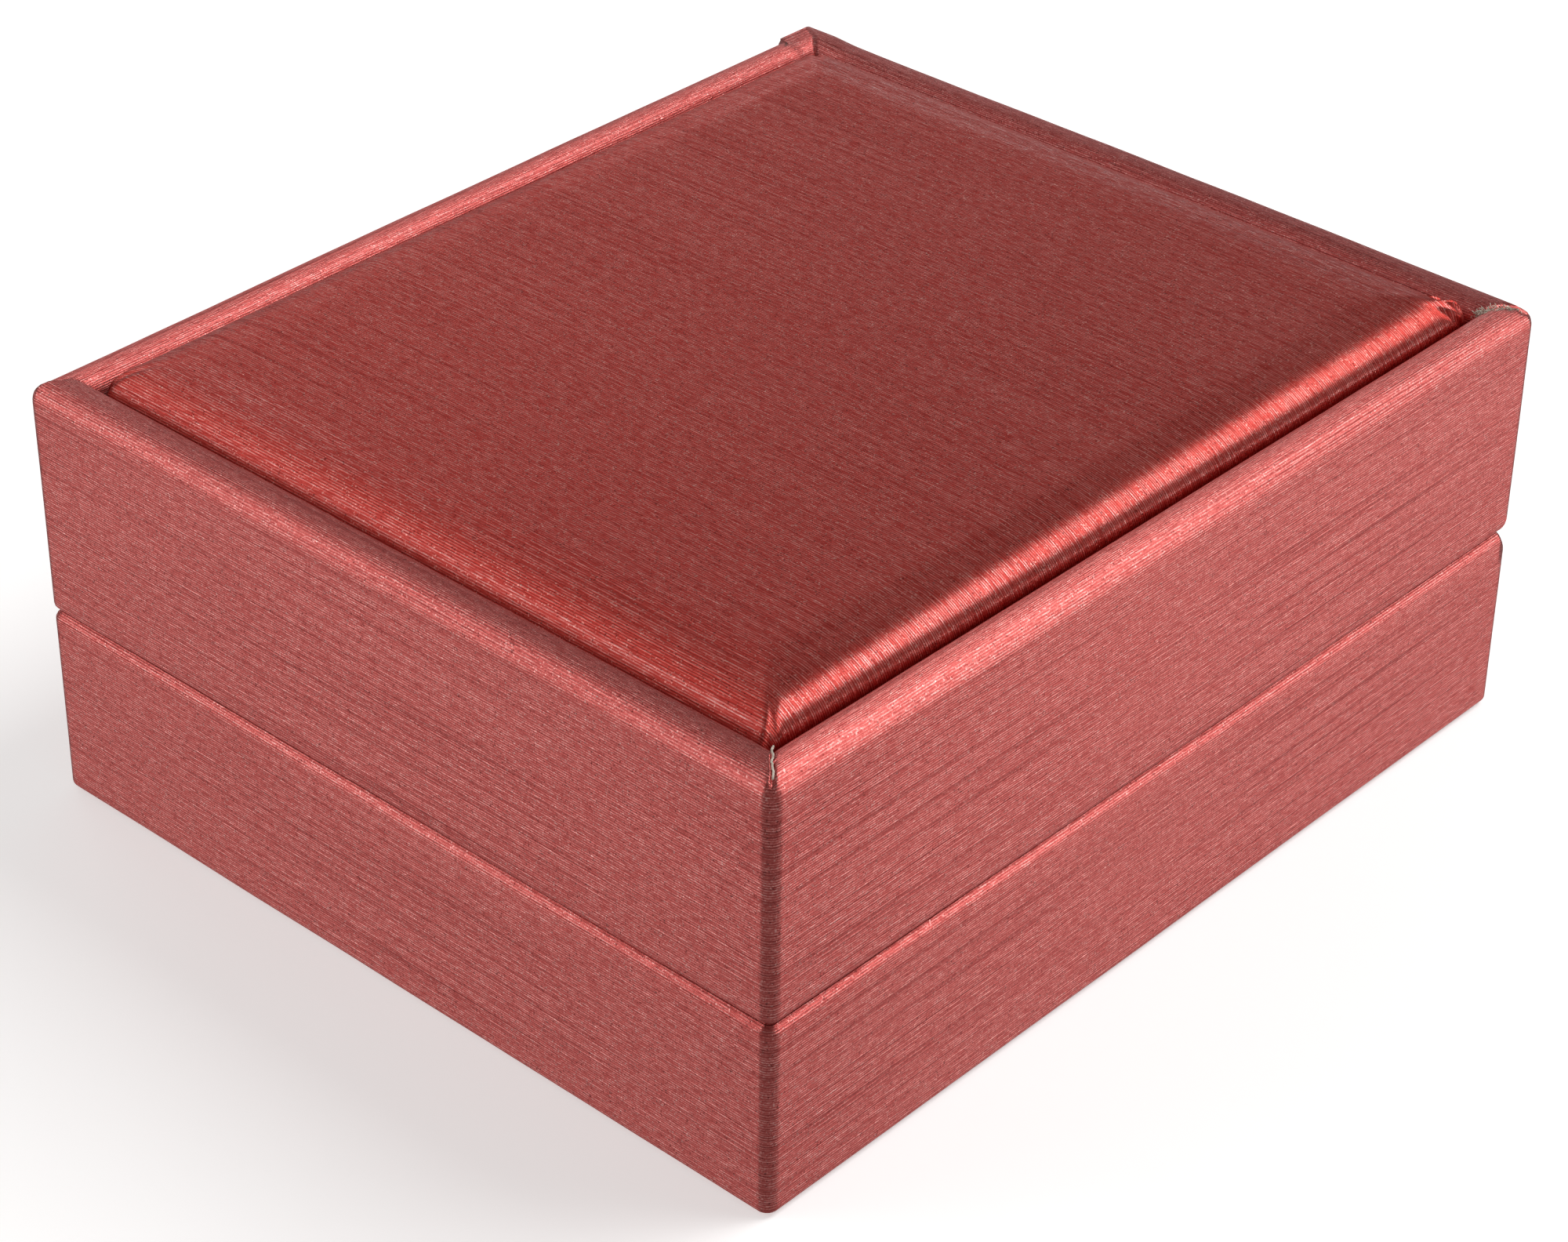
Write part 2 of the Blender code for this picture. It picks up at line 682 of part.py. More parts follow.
def lid_padded_lining(parent):
    """The puffed satin ceiling of the lid: a board, foam under it, and satin drawn over both."""
    half_x, y0, y1 = inner_edges(SEAT + LINING_THICKNESS + SEAT)
    board_z1 = PANEL_BOTTOM - SEAT
    board_z0 = board_z1 - LINING_BOARD
    inside = SATIN_THICKNESS + SEAT
    flat_board("lining_board", half_x - inside, y0 + inside, y1 - inside, board_z0, board_z1,
               millboard(), parent, SATIN_CORNER_RADIUS - SATIN_THICKNESS)

    foam_top = board_z0 - SEAT
    side_z = foam_top - LINING_FOAM + SATIN_ROLL_HEIGHT
    rings = pillow_rings(half_x - inside, y0 + inside, y1 - inside, side_z, SATIN_ROLL_WIDTH - inside,
                         SATIN_ROLL_HEIGHT - inside, SATIN_DOME, SATIN_CORNER_RADIUS, 0.0, foam_top, -1.0)
    bm = loft(rings, True, True)
    bmesh.ops.reverse_faces(bm, faces=bm.faces)
    add_piece("lining_foam", bm, foam(), parent, PIVOT, smooth=True)

    rings = pillow_rings(half_x, y0, y1, side_z, SATIN_ROLL_WIDTH, SATIN_ROLL_HEIGHT, SATIN_DOME,
                         SATIN_CORNER_RADIUS, 0.0, board_z1, -1.0)
    bm = loft(rings, close_end=True)
    bmesh.ops.reverse_faces(bm, faces=bm.faces)
    cover = add_piece("lining_satin", bm, satin(), parent, PIVOT, smooth=True)
    solidify(cover, SATIN_THICKNESS)


# Insert


def insert(parent):
    """The necklace pad: a board, a foam block, and velvet drawn over the foam, with two chain slits."""
    side_in, front_in = collar_spans()[1], collar_spans()[3]
    half_x = side_in - INSERT_CLEARANCE
    y0 = front_in + INSERT_CLEARANCE
    y1 = BACK_FACE_OF_LEAF - INSERT_BACK_ROOM
    board_z = FLOOR_TOP + SEAT
    inside = VELVET_THICKNESS + SEAT
    board_x = half_x - inside
    flat_board("insert_board", board_x, y0 + inside, y1 - inside, board_z, board_z + INSERT_BOARD,
               millboard(), parent, VELVET_CORNER_RADIUS - VELVET_THICKNESS)

    foot = board_z + INSERT_BOARD + SEAT
    side_z = foot + VELVET_SIDE_HEIGHT
    rings = pillow_rings(half_x - inside, y0 + inside, y1 - inside, side_z, VELVET_ROLL_WIDTH - inside,
                         VELVET_ROLL_HEIGHT - inside, VELVET_DOME, VELVET_CORNER_RADIUS, 0.0, foot)
    block = add_piece("insert_foam", loft(rings, True, True), foam(), parent, parent.location, smooth=True)

    rings = pillow_rings(half_x, y0, y1, side_z, VELVET_ROLL_WIDTH, VELVET_ROLL_HEIGHT, VELVET_DOME,
                         VELVET_CORNER_RADIUS, 0.0, board_z)
    skin = loft(rings, close_end=True)
    cover = add_piece("insert_velvet", skin, velvet(), parent, parent.location, smooth=True)
    solidify(cover, VELVET_THICKNESS)
    for cutter in chain_slits(half_x, y1, side_z + VELVET_ROLL_HEIGHT):
        cut(cover, cutter)
        cut(block, cutter)


def chain_slits(half_x, back_y, top):
    """Two thin cutters set across the insert's back corners, where the chain tucks through."""
    made = []
    for name, side in (("left", -1), ("right", 1)):
        bm = box_mesh((-SLIT_LENGTH / 2, -SLIT_WIDTH / 2, top - SLIT_DEPTH),
                      (SLIT_LENGTH / 2, SLIT_WIDTH / 2, top + SLIT_DEPTH))
        bmesh.ops.rotate(bm, cent=(0, 0, 0), matrix=Matrix.Rotation(-side * math.radians(45), 3, 'Z'),
                         verts=bm.verts)
        middle = Vector((side * (half_x - SLIT_FROM_SIDE), back_y - SLIT_FROM_BACK, 0.0))
        bmesh.ops.translate(bm, vec=middle, verts=bm.verts)
        made.append(add_cutter("chain_slit_" + name, bm))
    return made


# Hinges, drawn from the pivot: u is towards the back, v is up


def from_pivot(points):
    return [(PIVOT_Y + u, JOINT_HEIGHT + v) for u, v in points]


def leaf_faces():
    """The leaf's back and front faces, measured from the pivot."""
    back = BACK_FACE_OF_LEAF - PIVOT_Y
    return back, back - LEAF_THICKNESS


def rivet_places(hinge_x, lift):
    return [(hinge_x + side * RIVET_SPACING / 2, JOINT_HEIGHT + lift) for side in (-1, 1)]


def rivet_holes(hinge_name, hinge_x):
    """Cutters for the rivet holes in leaves, springs and back boards, two below and two above the pivot."""
    length = 2 * BACK_WALL
    end_y = BACK_FACE_OF_LEAF + SEAT + RIVET_IN_WALL + SEAT
    made = {}
    for body, lift in (("base", -RIVET_DROP), ("lid", RIVET_DROP)):
        made[body] = []
        for i, (x, z) in enumerate(rivet_places(hinge_x, lift)):
            bm = rod_mesh((x, end_y - length / 2, z), RIVET_RADIUS + RIVET_HOLE_CLEARANCE, length, (0, 1, 0),
                          SMALL_ROUND_SEGMENTS)
            made[body].append(add_cutter(f"rivet_hole_{body}_{hinge_name}_{i + 1}", bm))
    return made


def mortise(hinge_name, hinge_x):
    """Cutter for the gap in both back boards and both wraps where a hinge passes through."""
    half = HINGE_WIDTH / 2 + MORTISE_SIDE
    inner = BACK_FACE_OF_LEAF + SEAT / 2 - PIVOT_Y
    deep = inner - BACK_WALL / 2
    outer = OUT_OF_BACK - PIVOT_Y
    points = [(outer, -MORTISE_BELOW), (outer, MORTISE_ABOVE), (inner, MORTISE_ABOVE), (inner, MORTISE_FOOT),
              (deep, MORTISE_FOOT), (deep, -MORTISE_FOOT), (inner, -MORTISE_FOOT), (inner, -MORTISE_BELOW)]
    block = extrude_outline(from_pivot(points), hinge_x - half, hinge_x + half)
    return add_cutter("mortise_" + hinge_name, block)


def leaf_window(hinge_name, hinge_x):
    """Cutter for the notches in the lining strips where a hinge's leaves lie."""
    half = HINGE_WIDTH / 2 + MORTISE_SIDE
    reach = LEAF_HEIGHT + SEAT
    bm = box_mesh((hinge_x - half, BACK_FACE_OF_LEAF - BACK_WALL, JOINT_HEIGHT - reach),
                  (hinge_x + half, BACK_FACE_OF_LEAF + SEAT / 2, JOINT_HEIGHT + reach))
    return add_cutter("leaf_window_" + hinge_name, bm)


def pin_hole(hinge_name, hinge_x):
    bm = rod_mesh((hinge_x, PIVOT_Y, JOINT_HEIGHT), PIN_RADIUS + PIN_CLEARANCE, 2 * HINGE_WIDTH, (1, 0, 0))
    return add_cutter("pin_hole_" + hinge_name, bm)


def base_leaf(hinge_name, hinge_x, bore, holes):
    """Plate on the back board, with two arms bent out over the board's mortise to two knuckles."""
    back, front = leaf_faces()
    low, high = -ARM_HALF_GAP_BASE - LEAF_THICKNESS, -ARM_HALF_GAP_BASE
    meets = math.degrees(math.asin(-high / KNUCKLE_RADIUS))
    points = [(front, -LEAF_HEIGHT), (back, -LEAF_HEIGHT), (back, low)]
    start = -math.degrees(math.asin(min(-low / KNUCKLE_RADIUS, 1.0)))
    points += arc((0, 0), KNUCKLE_RADIUS, start, 180 + meets, 12)
    points += [(front, high)]
    half = HINGE_WIDTH / 2
    bm = extrude_outline(from_pivot(points), hinge_x - half, hinge_x + half)
    leaf = add_piece("hinge_base_leaf_" + hinge_name, bm, plated_steel(), None,
                     (hinge_x, PIVOT_Y, JOINT_HEIGHT), smooth=True)
    reach = HINGE_WIDTH / 2 - KNUCKLE_LENGTH
    room = box_mesh((hinge_x - reach, PIVOT_Y + front - LEAF_THICKNESS, JOINT_HEIGHT - MORTISE_BELOW),
                    (hinge_x + reach, OUT_OF_BACK, JOINT_HEIGHT + MORTISE_BELOW))
    cut(leaf, add_cutter("room_for_cam_" + hinge_name, room))
    for cutter in [bore] + holes:
        cut(leaf, cutter)


def lid_leaf(hinge_name, hinge_x, bore, holes, parent):
    """Plate on the lid's back board, with one arm to a squared cam that the spring snaps against."""
    back, front = leaf_faces()
    low = ARM_HALF_GAP_LID
    flat = CAM_HALF - CAM_CORNER_RADIUS
    points = [(front, LEAF_HEIGHT), (front, low), (-CAM_HALF, low)]
    for (cu, cv), start in (((-flat, -flat), 180), ((flat, -flat), 270), ((flat, flat), 0)):
        points += arc((cu, cv), CAM_CORNER_RADIUS, start, start + 90, 3)
    points += [(back, CAM_HALF), (back, LEAF_HEIGHT)]
    half = HINGE_WIDTH / 2
    bm = extrude_outline(from_pivot(points), hinge_x - half, hinge_x + half)
    leaf = add_piece("hinge_lid_leaf_" + hinge_name, bm, plated_steel(), parent,
                     (hinge_x, PIVOT_Y, JOINT_HEIGHT), smooth=True)
    cam_half = half - KNUCKLE_LENGTH - KNUCKLE_GAP
    for side in (-1, 1):
        edges = sorted((hinge_x + side * cam_half, hinge_x + side * HINGE_WIDTH))
        room = box_mesh((edges[0], PIVOT_Y + back + SEAT / 2, JOINT_HEIGHT - MORTISE_BELOW),
                        (edges[1], OUT_OF_BACK, JOINT_HEIGHT + MORTISE_BELOW))
        cut(leaf, add_cutter(f"room_for_knuckle_{hinge_name}_{'left' if side < 0 else 'right'}", room))
    for cutter in [bore] + holes:
        cut(leaf, cutter)


def spring(hinge_name, hinge_x, holes):
    """Flat spring riveted on the base leaf, bent out under the cam of the lid leaf."""
    front = leaf_faces()[1] - SPRING_SEAT
    inner = front - SPRING_THICKNESS
    top = -CAM_HALF - SPRING_CAM_GAP
    points = [(inner, -SPRING_FOOT_BOTTOM), (front, -SPRING_FOOT_BOTTOM), (front, top - SPRING_THICKNESS),
              (SPRING_TIP, top - SPRING_THICKNESS), (SPRING_TIP, top), (inner, top)]
    half = SPRING_FOOT_WIDTH / 2
    bm = extrude_outline(from_pivot(points), hinge_x - half, hinge_x + half)
    strip = add_piece("hinge_spring_" + hinge_name, bm, spring_steel(), None,
                      (hinge_x, PIVOT_Y, JOINT_HEIGHT))
    for side in (-1, 1):
        edges = sorted((hinge_x + side * SPRING_WIDTH / 2, hinge_x + side * SPRING_FOOT_WIDTH))
        side_cut = box_mesh((edges[0], PIVOT_Y + 2 * inner, JOINT_HEIGHT - SPRING_FOOT_TOP),
                            (edges[1], OUT_OF_BACK, JOINT_HEIGHT))
        cut(strip, add_cutter(f"spring_side_{hinge_name}_{'left' if side < 0 else 'right'}", side_cut))
    for cutter in holes:
        cut(strip, cutter)


def pin(hinge_name, hinge_x):
    length = HINGE_WIDTH + 2 * PIN_CLEARANCE
    half, head = length / 2, length / 2 + PIN_HEAD
    profile = [(0, head), (PIN_HEAD_RADIUS * 0.8, head), (PIN_HEAD_RADIUS, half + PIN_HEAD / 2),
               (PIN_HEAD_RADIUS, half), (PIN_RADIUS, half), (PIN_RADIUS, -half), (PIN_HEAD_RADIUS, -half),
               (PIN_HEAD_RADIUS, -half - PIN_HEAD / 2), (PIN_HEAD_RADIUS * 0.8, -head), (0, -head)]
    turned("hinge_pin_" + hinge_name, profile, plated_steel(), None, (hinge_x, PIVOT_Y, JOINT_HEIGHT),
           (1, 0, 0))


def rivets(hinge_name, hinge_x, parent):
    """Two domed rivets in the base, over the spring's foot, and two in the lid, over the leaf."""
    leaf_front = PIVOT_Y + leaf_faces()[1]
    seats = {"base": (leaf_front - SPRING_SEAT - SPRING_THICKNESS - SPRING_SEAT, -RIVET_DROP, None),
             "lid": (leaf_front - SPRING_SEAT, RIVET_DROP, parent)}
    wall_face = BACK_FACE_OF_LEAF + SEAT
    for body, (seat_y, lift, owner) in seats.items():
        length = wall_face + RIVET_IN_WALL - seat_y
        dome = [(RIVET_HEAD_RADIUS * math.sin(a), RIVET_HEAD * math.cos(a))
                for a in (math.radians(90 * i / 4) for i in range(5))]
        profile = dome + [(RIVET_RADIUS, 0), (RIVET_RADIUS, RIVET_RADIUS / 2 - length), (0, -length)]
        for i, (x, z) in enumerate(rivet_places(hinge_x, lift)):
            turned(f"{body}_rivet_{hinge_name}_{i + 1}", profile, plated_steel(), owner, (x, seat_y, z),
                   (0, -1, 0))


def hinges(lid_parent, back_pieces, linings):
    """Both hinges, with their mortises, windows and rivet holes in the pieces around them."""
    for hinge_name, side in (("left", -1), ("right", 1)):
        hinge_x = side * HINGE_SPREAD / 2
        bore = pin_hole(hinge_name, hinge_x)
        holes = rivet_holes(hinge_name, hinge_x)
        gap = mortise(hinge_name, hinge_x)
        window = leaf_window(hinge_name, hinge_x)
        for obj in back_pieces["base"] + back_pieces["lid"]:
            cut(obj, gap)
        for obj in linings:
            cut(obj, window)
        for body in ("base", "lid"):
            for cutter in holes[body]:
                cut(back_pieces[body][0], cutter)
        base_leaf(hinge_name, hinge_x, bore, holes["base"])
        lid_leaf(hinge_name, hinge_x, bore, holes["lid"], lid_parent)
        spring(hinge_name, hinge_x, holes["base"])
        pin(hinge_name, hinge_x)
        rivets(hinge_name, hinge_x, lid_parent)


def empty(name, at):
    obj = bpy.data.objects.new(name, None)
    PARTS.objects.link(obj)
    obj.location = at
    obj.empty_display_size = 10 * MM
    return obj


clear_scene()
PARTS = collection(COLLECTION)
CUTTERS = collection("cutters")
lid_pivot = empty("lid_pivot", PIVOT)
insert_lift = empty("insert_lift", Vector((0.0, 0.0, FLOOR_TOP)))

lid_skin = lid_wrap(lid_pivot)
base_skin = base_wrap()
lid_boards = lid_walls(lid_pivot)
base_boards = base_walls()
lid_panel(lid_pivot)
base_floor()
bottom_sheet()
collar()
base_strip = base_lining_back()
lid_strips = lid_linings(lid_pivot)
pad(lid_pivot)
lid_padded_lining(lid_pivot)
insert(insert_lift)
hinges(lid_pivot, {"base": [base_boards["back"], base_skin], "lid": [lid_boards["back"], lid_skin]},
       [base_strip, lid_strips["back"]])
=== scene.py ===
# %% [markdown]
# # A hinged necklace box in ribbed copper-red leatherette
#
# The box is a lid and a base of thin board, each wrapped in one sheet of leatherette with fine ribs. A padded
# panel sits in the lid's rim, satin lines the lid, and a velvet insert lies in the base. This lesson dresses
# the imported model: it loads the CAD pieces as a fixed frame and gives each visible surface its form and finish.

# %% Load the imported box
import math

import bmesh
import bpy
import numpy as np
from mathutils import Euler, Matrix, Vector, noise


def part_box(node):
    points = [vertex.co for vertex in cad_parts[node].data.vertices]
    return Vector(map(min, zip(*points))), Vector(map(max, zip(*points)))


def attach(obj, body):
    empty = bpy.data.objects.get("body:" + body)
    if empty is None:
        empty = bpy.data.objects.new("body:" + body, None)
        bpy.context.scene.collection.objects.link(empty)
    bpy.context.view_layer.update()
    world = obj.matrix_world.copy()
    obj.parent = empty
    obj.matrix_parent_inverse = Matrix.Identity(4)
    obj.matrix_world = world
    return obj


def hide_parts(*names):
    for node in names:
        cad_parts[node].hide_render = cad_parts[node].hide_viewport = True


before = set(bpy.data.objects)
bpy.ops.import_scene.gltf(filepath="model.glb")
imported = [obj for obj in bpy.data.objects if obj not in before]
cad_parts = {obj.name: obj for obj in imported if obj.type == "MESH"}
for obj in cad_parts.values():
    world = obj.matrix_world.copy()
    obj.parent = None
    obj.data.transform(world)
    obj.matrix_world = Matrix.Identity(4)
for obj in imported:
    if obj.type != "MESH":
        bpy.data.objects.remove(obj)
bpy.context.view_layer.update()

MM = 0.001

# %% [markdown]
# The camera stands where the photographer stood: a long lens, a little over a third of a metre away, to the
# right of the front and about 32 degrees above the table. The lens and the place were solved from the box's
# own corners, so that the edges fall where they do in the photograph.

# %% Camera
LENS, SENSOR_WIDTH = 91.85, 36.0
CAMERA_PLACE = (0.21153, -0.23539, 0.22101)
CAMERA_TURN = (56.803, -0.564, 42.471)
scene = bpy.context.scene


def place_object(name, data):
    obj = bpy.data.objects.new(name, data)
    scene.collection.objects.link(obj)
    return obj


camera_data = bpy.data.cameras.new("camera")
camera_data.lens = LENS
camera_data.sensor_width = SENSOR_WIDTH
camera_data.sensor_fit = 'HORIZONTAL'
camera_data.clip_start = 0.01
camera = place_object("camera", camera_data)
camera.location = CAMERA_PLACE
camera.rotation_euler = Euler([math.radians(a) for a in CAMERA_TURN])
scene.camera = camera
scene.view_settings.view_transform = 'Standard'
print("camera at", CAMERA_PLACE, "lens", LENS)

# %% [markdown]
# Node graphs are written with a few small helpers. The first make a node and feed its sockets by name, and the
# others make what comes up most, such as a sum, a noise, a mix of two colours or a group. They keep each
# material readable.

# %% Helpers for node graphs
def node(tree, kind, **fields):
    made = tree.nodes.new(kind)
    for key, value in fields.items():
        setattr(made, key, value)
    return made


def feed(socket, value):
    """Link an output to a socket, or set the socket's own value."""
    if isinstance(value, bpy.types.NodeSocket):
        socket.id_data.links.new(value, socket)
    else:
        socket.default_value = value


def fill(made, **values):
    """Feed a node's sockets by name, with an underscore where the name has a space."""
    for label, value in values.items():
        feed(made.inputs[label.replace("_", " ")], value)
    return made


def step(tree, kind, **values):
    """Make a node, feed its sockets by name, and give its first output."""
    return fill(node(tree, kind), **values).outputs[0]


def calc(tree, operation, *values, kind="ShaderNodeMath"):
    made = node(tree, kind, operation=operation)
    for socket, value in zip(made.inputs, values):
        feed(socket, value)
    return made.outputs[0]


def weighted(tree, *pairs):
    """Add up values, each times its own weight."""
    total = calc(tree, 'MULTIPLY', *pairs[0])
    for value, weight in pairs[1:]:
        total = calc(tree, 'MULTIPLY_ADD', value, weight, total)
    return total


def remap(tree, value, low, high, new_low=0.0, new_high=1.0):
    """Change a value's range, without going past the new range's ends."""
    return step(tree, "ShaderNodeMapRange", Value=value, From_Min=low, From_Max=high, To_Min=new_low, To_Max=new_high)


def mix_colors(tree, share, first, second):
    made = node(tree, "ShaderNodeMix", data_type='RGBA')
    feed(made.inputs["Factor"], share)
    for socket, color in zip([s for s in made.inputs if s.type == 'RGBA'], (first, second)):
        feed(socket, color if isinstance(color, bpy.types.NodeSocket) else (*color, 1.0))
    return [s for s in made.outputs if s.type == 'RGBA'][0]


def axes(tree, vector):
    """The X, Y and Z of a vector."""
    return fill(node(tree, "ShaderNodeSeparateXYZ"), Vector=vector).outputs


def joined(tree, x=0.0, y=0.0, z=0.0):
    """A vector of X, Y and Z."""
    return step(tree, "ShaderNodeCombineXYZ", X=x, Y=y, Z=z)


def stretched(tree, vector, x, y, z=1.0):
    """Scale a vector, so that a texture on it is stretched along one axis."""
    return calc(tree, 'MULTIPLY', vector, joined(tree, x, y, z), kind="ShaderNodeVectorMath")


def noise_value(tree, vector, scale=1.0, detail=2.0, rough=0.5):
    return step(tree, "ShaderNodeTexNoise", Vector=vector, Scale=scale, Detail=detail, Roughness=rough)


def add_inputs(tree, inputs, open_kind):
    """Give a tree an input for each name and default. open_kind is the kind of those without a default."""
    for label, default in inputs.items():
        kind = {float: 'NodeSocketFloat', int: 'NodeSocketInt'}.get(type(default), open_kind)
        socket = tree.interface.new_socket(name=label.replace("_", " "), in_out='INPUT', socket_type=kind)
        if default is not None:
            socket.default_value = default


def new_group(name, *outputs, **inputs):
    """A shader node group whose outputs are values, and whose inputs are values or, with None, vectors."""
    tree = bpy.data.node_groups.new(name, "ShaderNodeTree")
    add_inputs(tree, inputs, 'NodeSocketVector')
    for label in outputs:
        tree.interface.new_socket(name=label, in_out='OUTPUT', socket_type='NodeSocketFloat')
    return tree, node(tree, "NodeGroupInput").outputs, node(tree, "NodeGroupOutput")


def use_group(tree, group, **values):
    return fill(node(tree, "ShaderNodeGroup", node_tree=group), **values).outputs


print("helpers ready")

# %% [markdown]
# Ribbed foil leatherette shows what shines on it, so the lights make half of the look. A box overhead draws
# the long highlight on the padded edge. One at the front left brightens the front wall, and one at the back
# right the side wall. Weak ones at the left, the back left and high at the front left fill the rims and rolls
# that face them. Nothing lights the box from the camera, which leaves the near corner dark.

# %% Lights
SKY_COLOR, SKY_AT_HORIZON, SKY_ABOVE = (1.0, 0.99, 0.98, 1.0), 0.38, 0.22


def softbox(name, place, aim, size, watts, tall=(0, 0, 1)):
    """A rectangular light of (width, height), its height lying along the direction tall as far as it can."""
    data = bpy.data.lights.new(name, 'AREA')
    data.shape = 'RECTANGLE'
    data.size, data.size_y = size
    data.energy = watts
    back = (Vector(place) - Vector(aim)).normalized()
    across = Vector(tall).cross(back).normalized()
    turn = Matrix((across, back.cross(across), back)).transposed().to_4x4()
    place_object(name, data).matrix_world = Matrix.Translation(place) @ turn


softbox("overhead_box", (0.29, 0.41, 0.72), (0.03, 0.05, 0.03), (0.39, 0.56), 3.7, tall=(0, 1, 0))
softbox("front_left_box", (-0.44, -0.58, 0.14), (0, 0, 0.02), (0.50, 0.28), 1.16)
softbox("back_right_box", (0.53, 0.51, 0.11), (0, 0, 0.02), (0.40, 0.22), 1.27)
softbox("left_box", (-0.62, 0.16, 0.46), (0, 0, 0.02), (0.30, 0.30), 0.25)
softbox("back_left_box", (-0.44, 0.66, 0.17), (0, 0, 0.03), (0.40, 0.24), 0.21)
softbox("front_high_box", (-0.42, -0.44, 0.47), (0, 0, 0.03), (0.30, 0.26), 0.40)

world = bpy.data.worlds.new("studio")
world.use_nodes = True
sky = world.node_tree
height = axes(sky, node(sky, "ShaderNodeTexCoord").outputs["Generated"])["Z"]
fill(sky.nodes["Background"], Color=SKY_COLOR, Strength=remap(sky, height, 0.0, 0.5, SKY_AT_HORIZON, SKY_ABOVE))
scene.world = world

# %% [markdown]
# The leatherette is a foil pressed with fine parallel ribs, about four to a millimetre, that break and wander
# a little. Three effects make it, each a node group that any material can use with its own sizes: ribs as a
# height, long streaks as a mask, and tiny flakes as a value. All read the cover's own map, laid in
# millimetres with U along the ribs, because ribs follow each wall and bend with the cloth.

# %% Node groups: ribs, streaks and flakes
def rib_group():
    tree, given, out = new_group("thread_ribs", "Height", Map=None, Pitch=0.24, Waver=0.4)
    wander = noise_value(tree, stretched(tree, given["Map"], 0.06, 0.9), detail=1.0)
    turns = calc(tree, 'DIVIDE', axes(tree, given["Map"])["Y"], given["Pitch"])
    turns = calc(tree, 'MULTIPLY_ADD', wander, given["Waver"], turns)
    wave = calc(tree, 'SINE', calc(tree, 'MULTIPLY', turns, 2 * math.pi))
    ridge = calc(tree, 'MULTIPLY_ADD', wave, 0.5, 0.5)
    broken = remap(tree, noise_value(tree, stretched(tree, given["Map"], 0.7, 4.2)), 0.3, 0.7, 0.35)
    fill(out, Height=calc(tree, 'MULTIPLY', ridge, broken))
    return tree


def streak_group():
    tree, given, out = new_group("long_streaks", "Mask", Map=None, Length=20.0, Width=0.4)
    along, across = [calc(tree, 'DIVIDE', 1.0, given[size]) for size in ("Length", "Width")]
    value = noise_value(tree, stretched(tree, given["Map"], along, across))
    fill(out, Mask=remap(tree, value, 0.32, 0.68))
    return tree


def flake_group():
    tree, given, out = new_group("metal_flakes", "Mask", "Glint", "Pit", Map=None, Size=0.2)
    per_mm = calc(tree, 'DIVIDE', 1.0, given["Size"])
    cells = node(tree, "ShaderNodeTexVoronoi", feature='F1')
    fill(cells, Vector=stretched(tree, given["Map"], per_mm, per_mm), Scale=1.0)
    red, green, blue = fill(node(tree, "ShaderNodeSeparateColor"), Color=cells.outputs["Color"]).outputs
    fill(out, Mask=red, Glint=remap(tree, green, 0.92, 1.0), Pit=remap(tree, blue, 0.0, 0.05, 1.0, 0.0))
    return tree


RIBS, STREAKS, FLAKES = rib_group(), streak_group(), flake_group()
print("groups:", [g.name for g in (RIBS, STREAKS, FLAKES)])

# %% [markdown]
# The copper-red finish is a metallic foil under a thin clear film. Its darks are a deep red and its lights
# turn pink, as on a lacquered metal. The ribs spread light across themselves and not along, which the
# shader's anisotropy gives with its tangent laid along the ribs and turned a quarter.

# %% Material: copper leatherette
RIB_DEPTH = 0.03 * MM


def new_material(name):
    made = bpy.data.materials.new(name)
    made.use_nodes = True
    return made, made.node_tree, made.node_tree.nodes["Principled BSDF"]


def relief(tree, height, depth):
    return step(tree, "ShaderNodeBump", Height=height, Distance=depth)


def leatherette_material(name, deep, light, glint, rough=0.45, film=(0.05, 0.7), shine=0.35, gloss=1.7,
                         lines=0.42, speck=1.0):
    made, tree, shader = new_material(name)
    uv = node(tree, "ShaderNodeUVMap", uv_map="cover").outputs[0]
    tangent = node(tree, "ShaderNodeTangent", direction_type='UV_MAP', uv_map="cover").outputs[0]
    ribs = use_group(tree, RIBS, Map=uv, Pitch=0.24, Waver=0.45)["Height"]
    fine = use_group(tree, STREAKS, Map=uv, Length=1.5, Width=0.12)["Mask"]
    long = use_group(tree, STREAKS, Map=uv, Length=60.0, Width=0.17)["Mask"]
    flakes = use_group(tree, FLAKES, Map=uv, Size=0.13)
    specks = calc(tree, 'MULTIPLY_ADD', flakes["Mask"], speck, 0.5 * (1 - speck))
    crest = remap(tree, weighted(tree, (ribs, 0.5), (fine, 0.3), (long, 0.2)), 0.42, 0.85)
    crest = calc(tree, 'MULTIPLY', crest, specks)
    tone = weighted(tree, (long, 0.19), (fine, 0.17), (ribs, 0.48), (specks, 0.27))
    color = mix_colors(tree, tone, deep, light)
    color = mix_colors(tree, weighted(tree, (crest, 0.72), (flakes["Glint"], 0.4)), color, glint)
    color = mix_colors(tree, remap(tree, long, 0.04, 0.30, lines, 0.0), color, [0.5 * c for c in deep])
    color = mix_colors(tree, calc(tree, 'MULTIPLY', flakes["Pit"], 0.7), color, [0.35 * c for c in deep])
    smoother = weighted(tree, (fine, -0.08), (flakes["Glint"], -0.12))
    height = weighted(tree, (ribs, 1.0), (fine, 0.4), (flakes["Mask"], 0.25), (long, 0.5))
    fill(shader, Base_Color=color, Metallic=1.0, Roughness=calc(tree, 'ADD', smoother, rough),
         Coat_Weight=calc(tree, 'MULTIPLY_ADD', crest, film[1], film[0]), Coat_Roughness=shine, Coat_IOR=gloss,
         Anisotropic=0.9, Anisotropic_Rotation=0.25, Tangent=tangent, Normal=relief(tree, height, RIB_DEPTH))
    return made


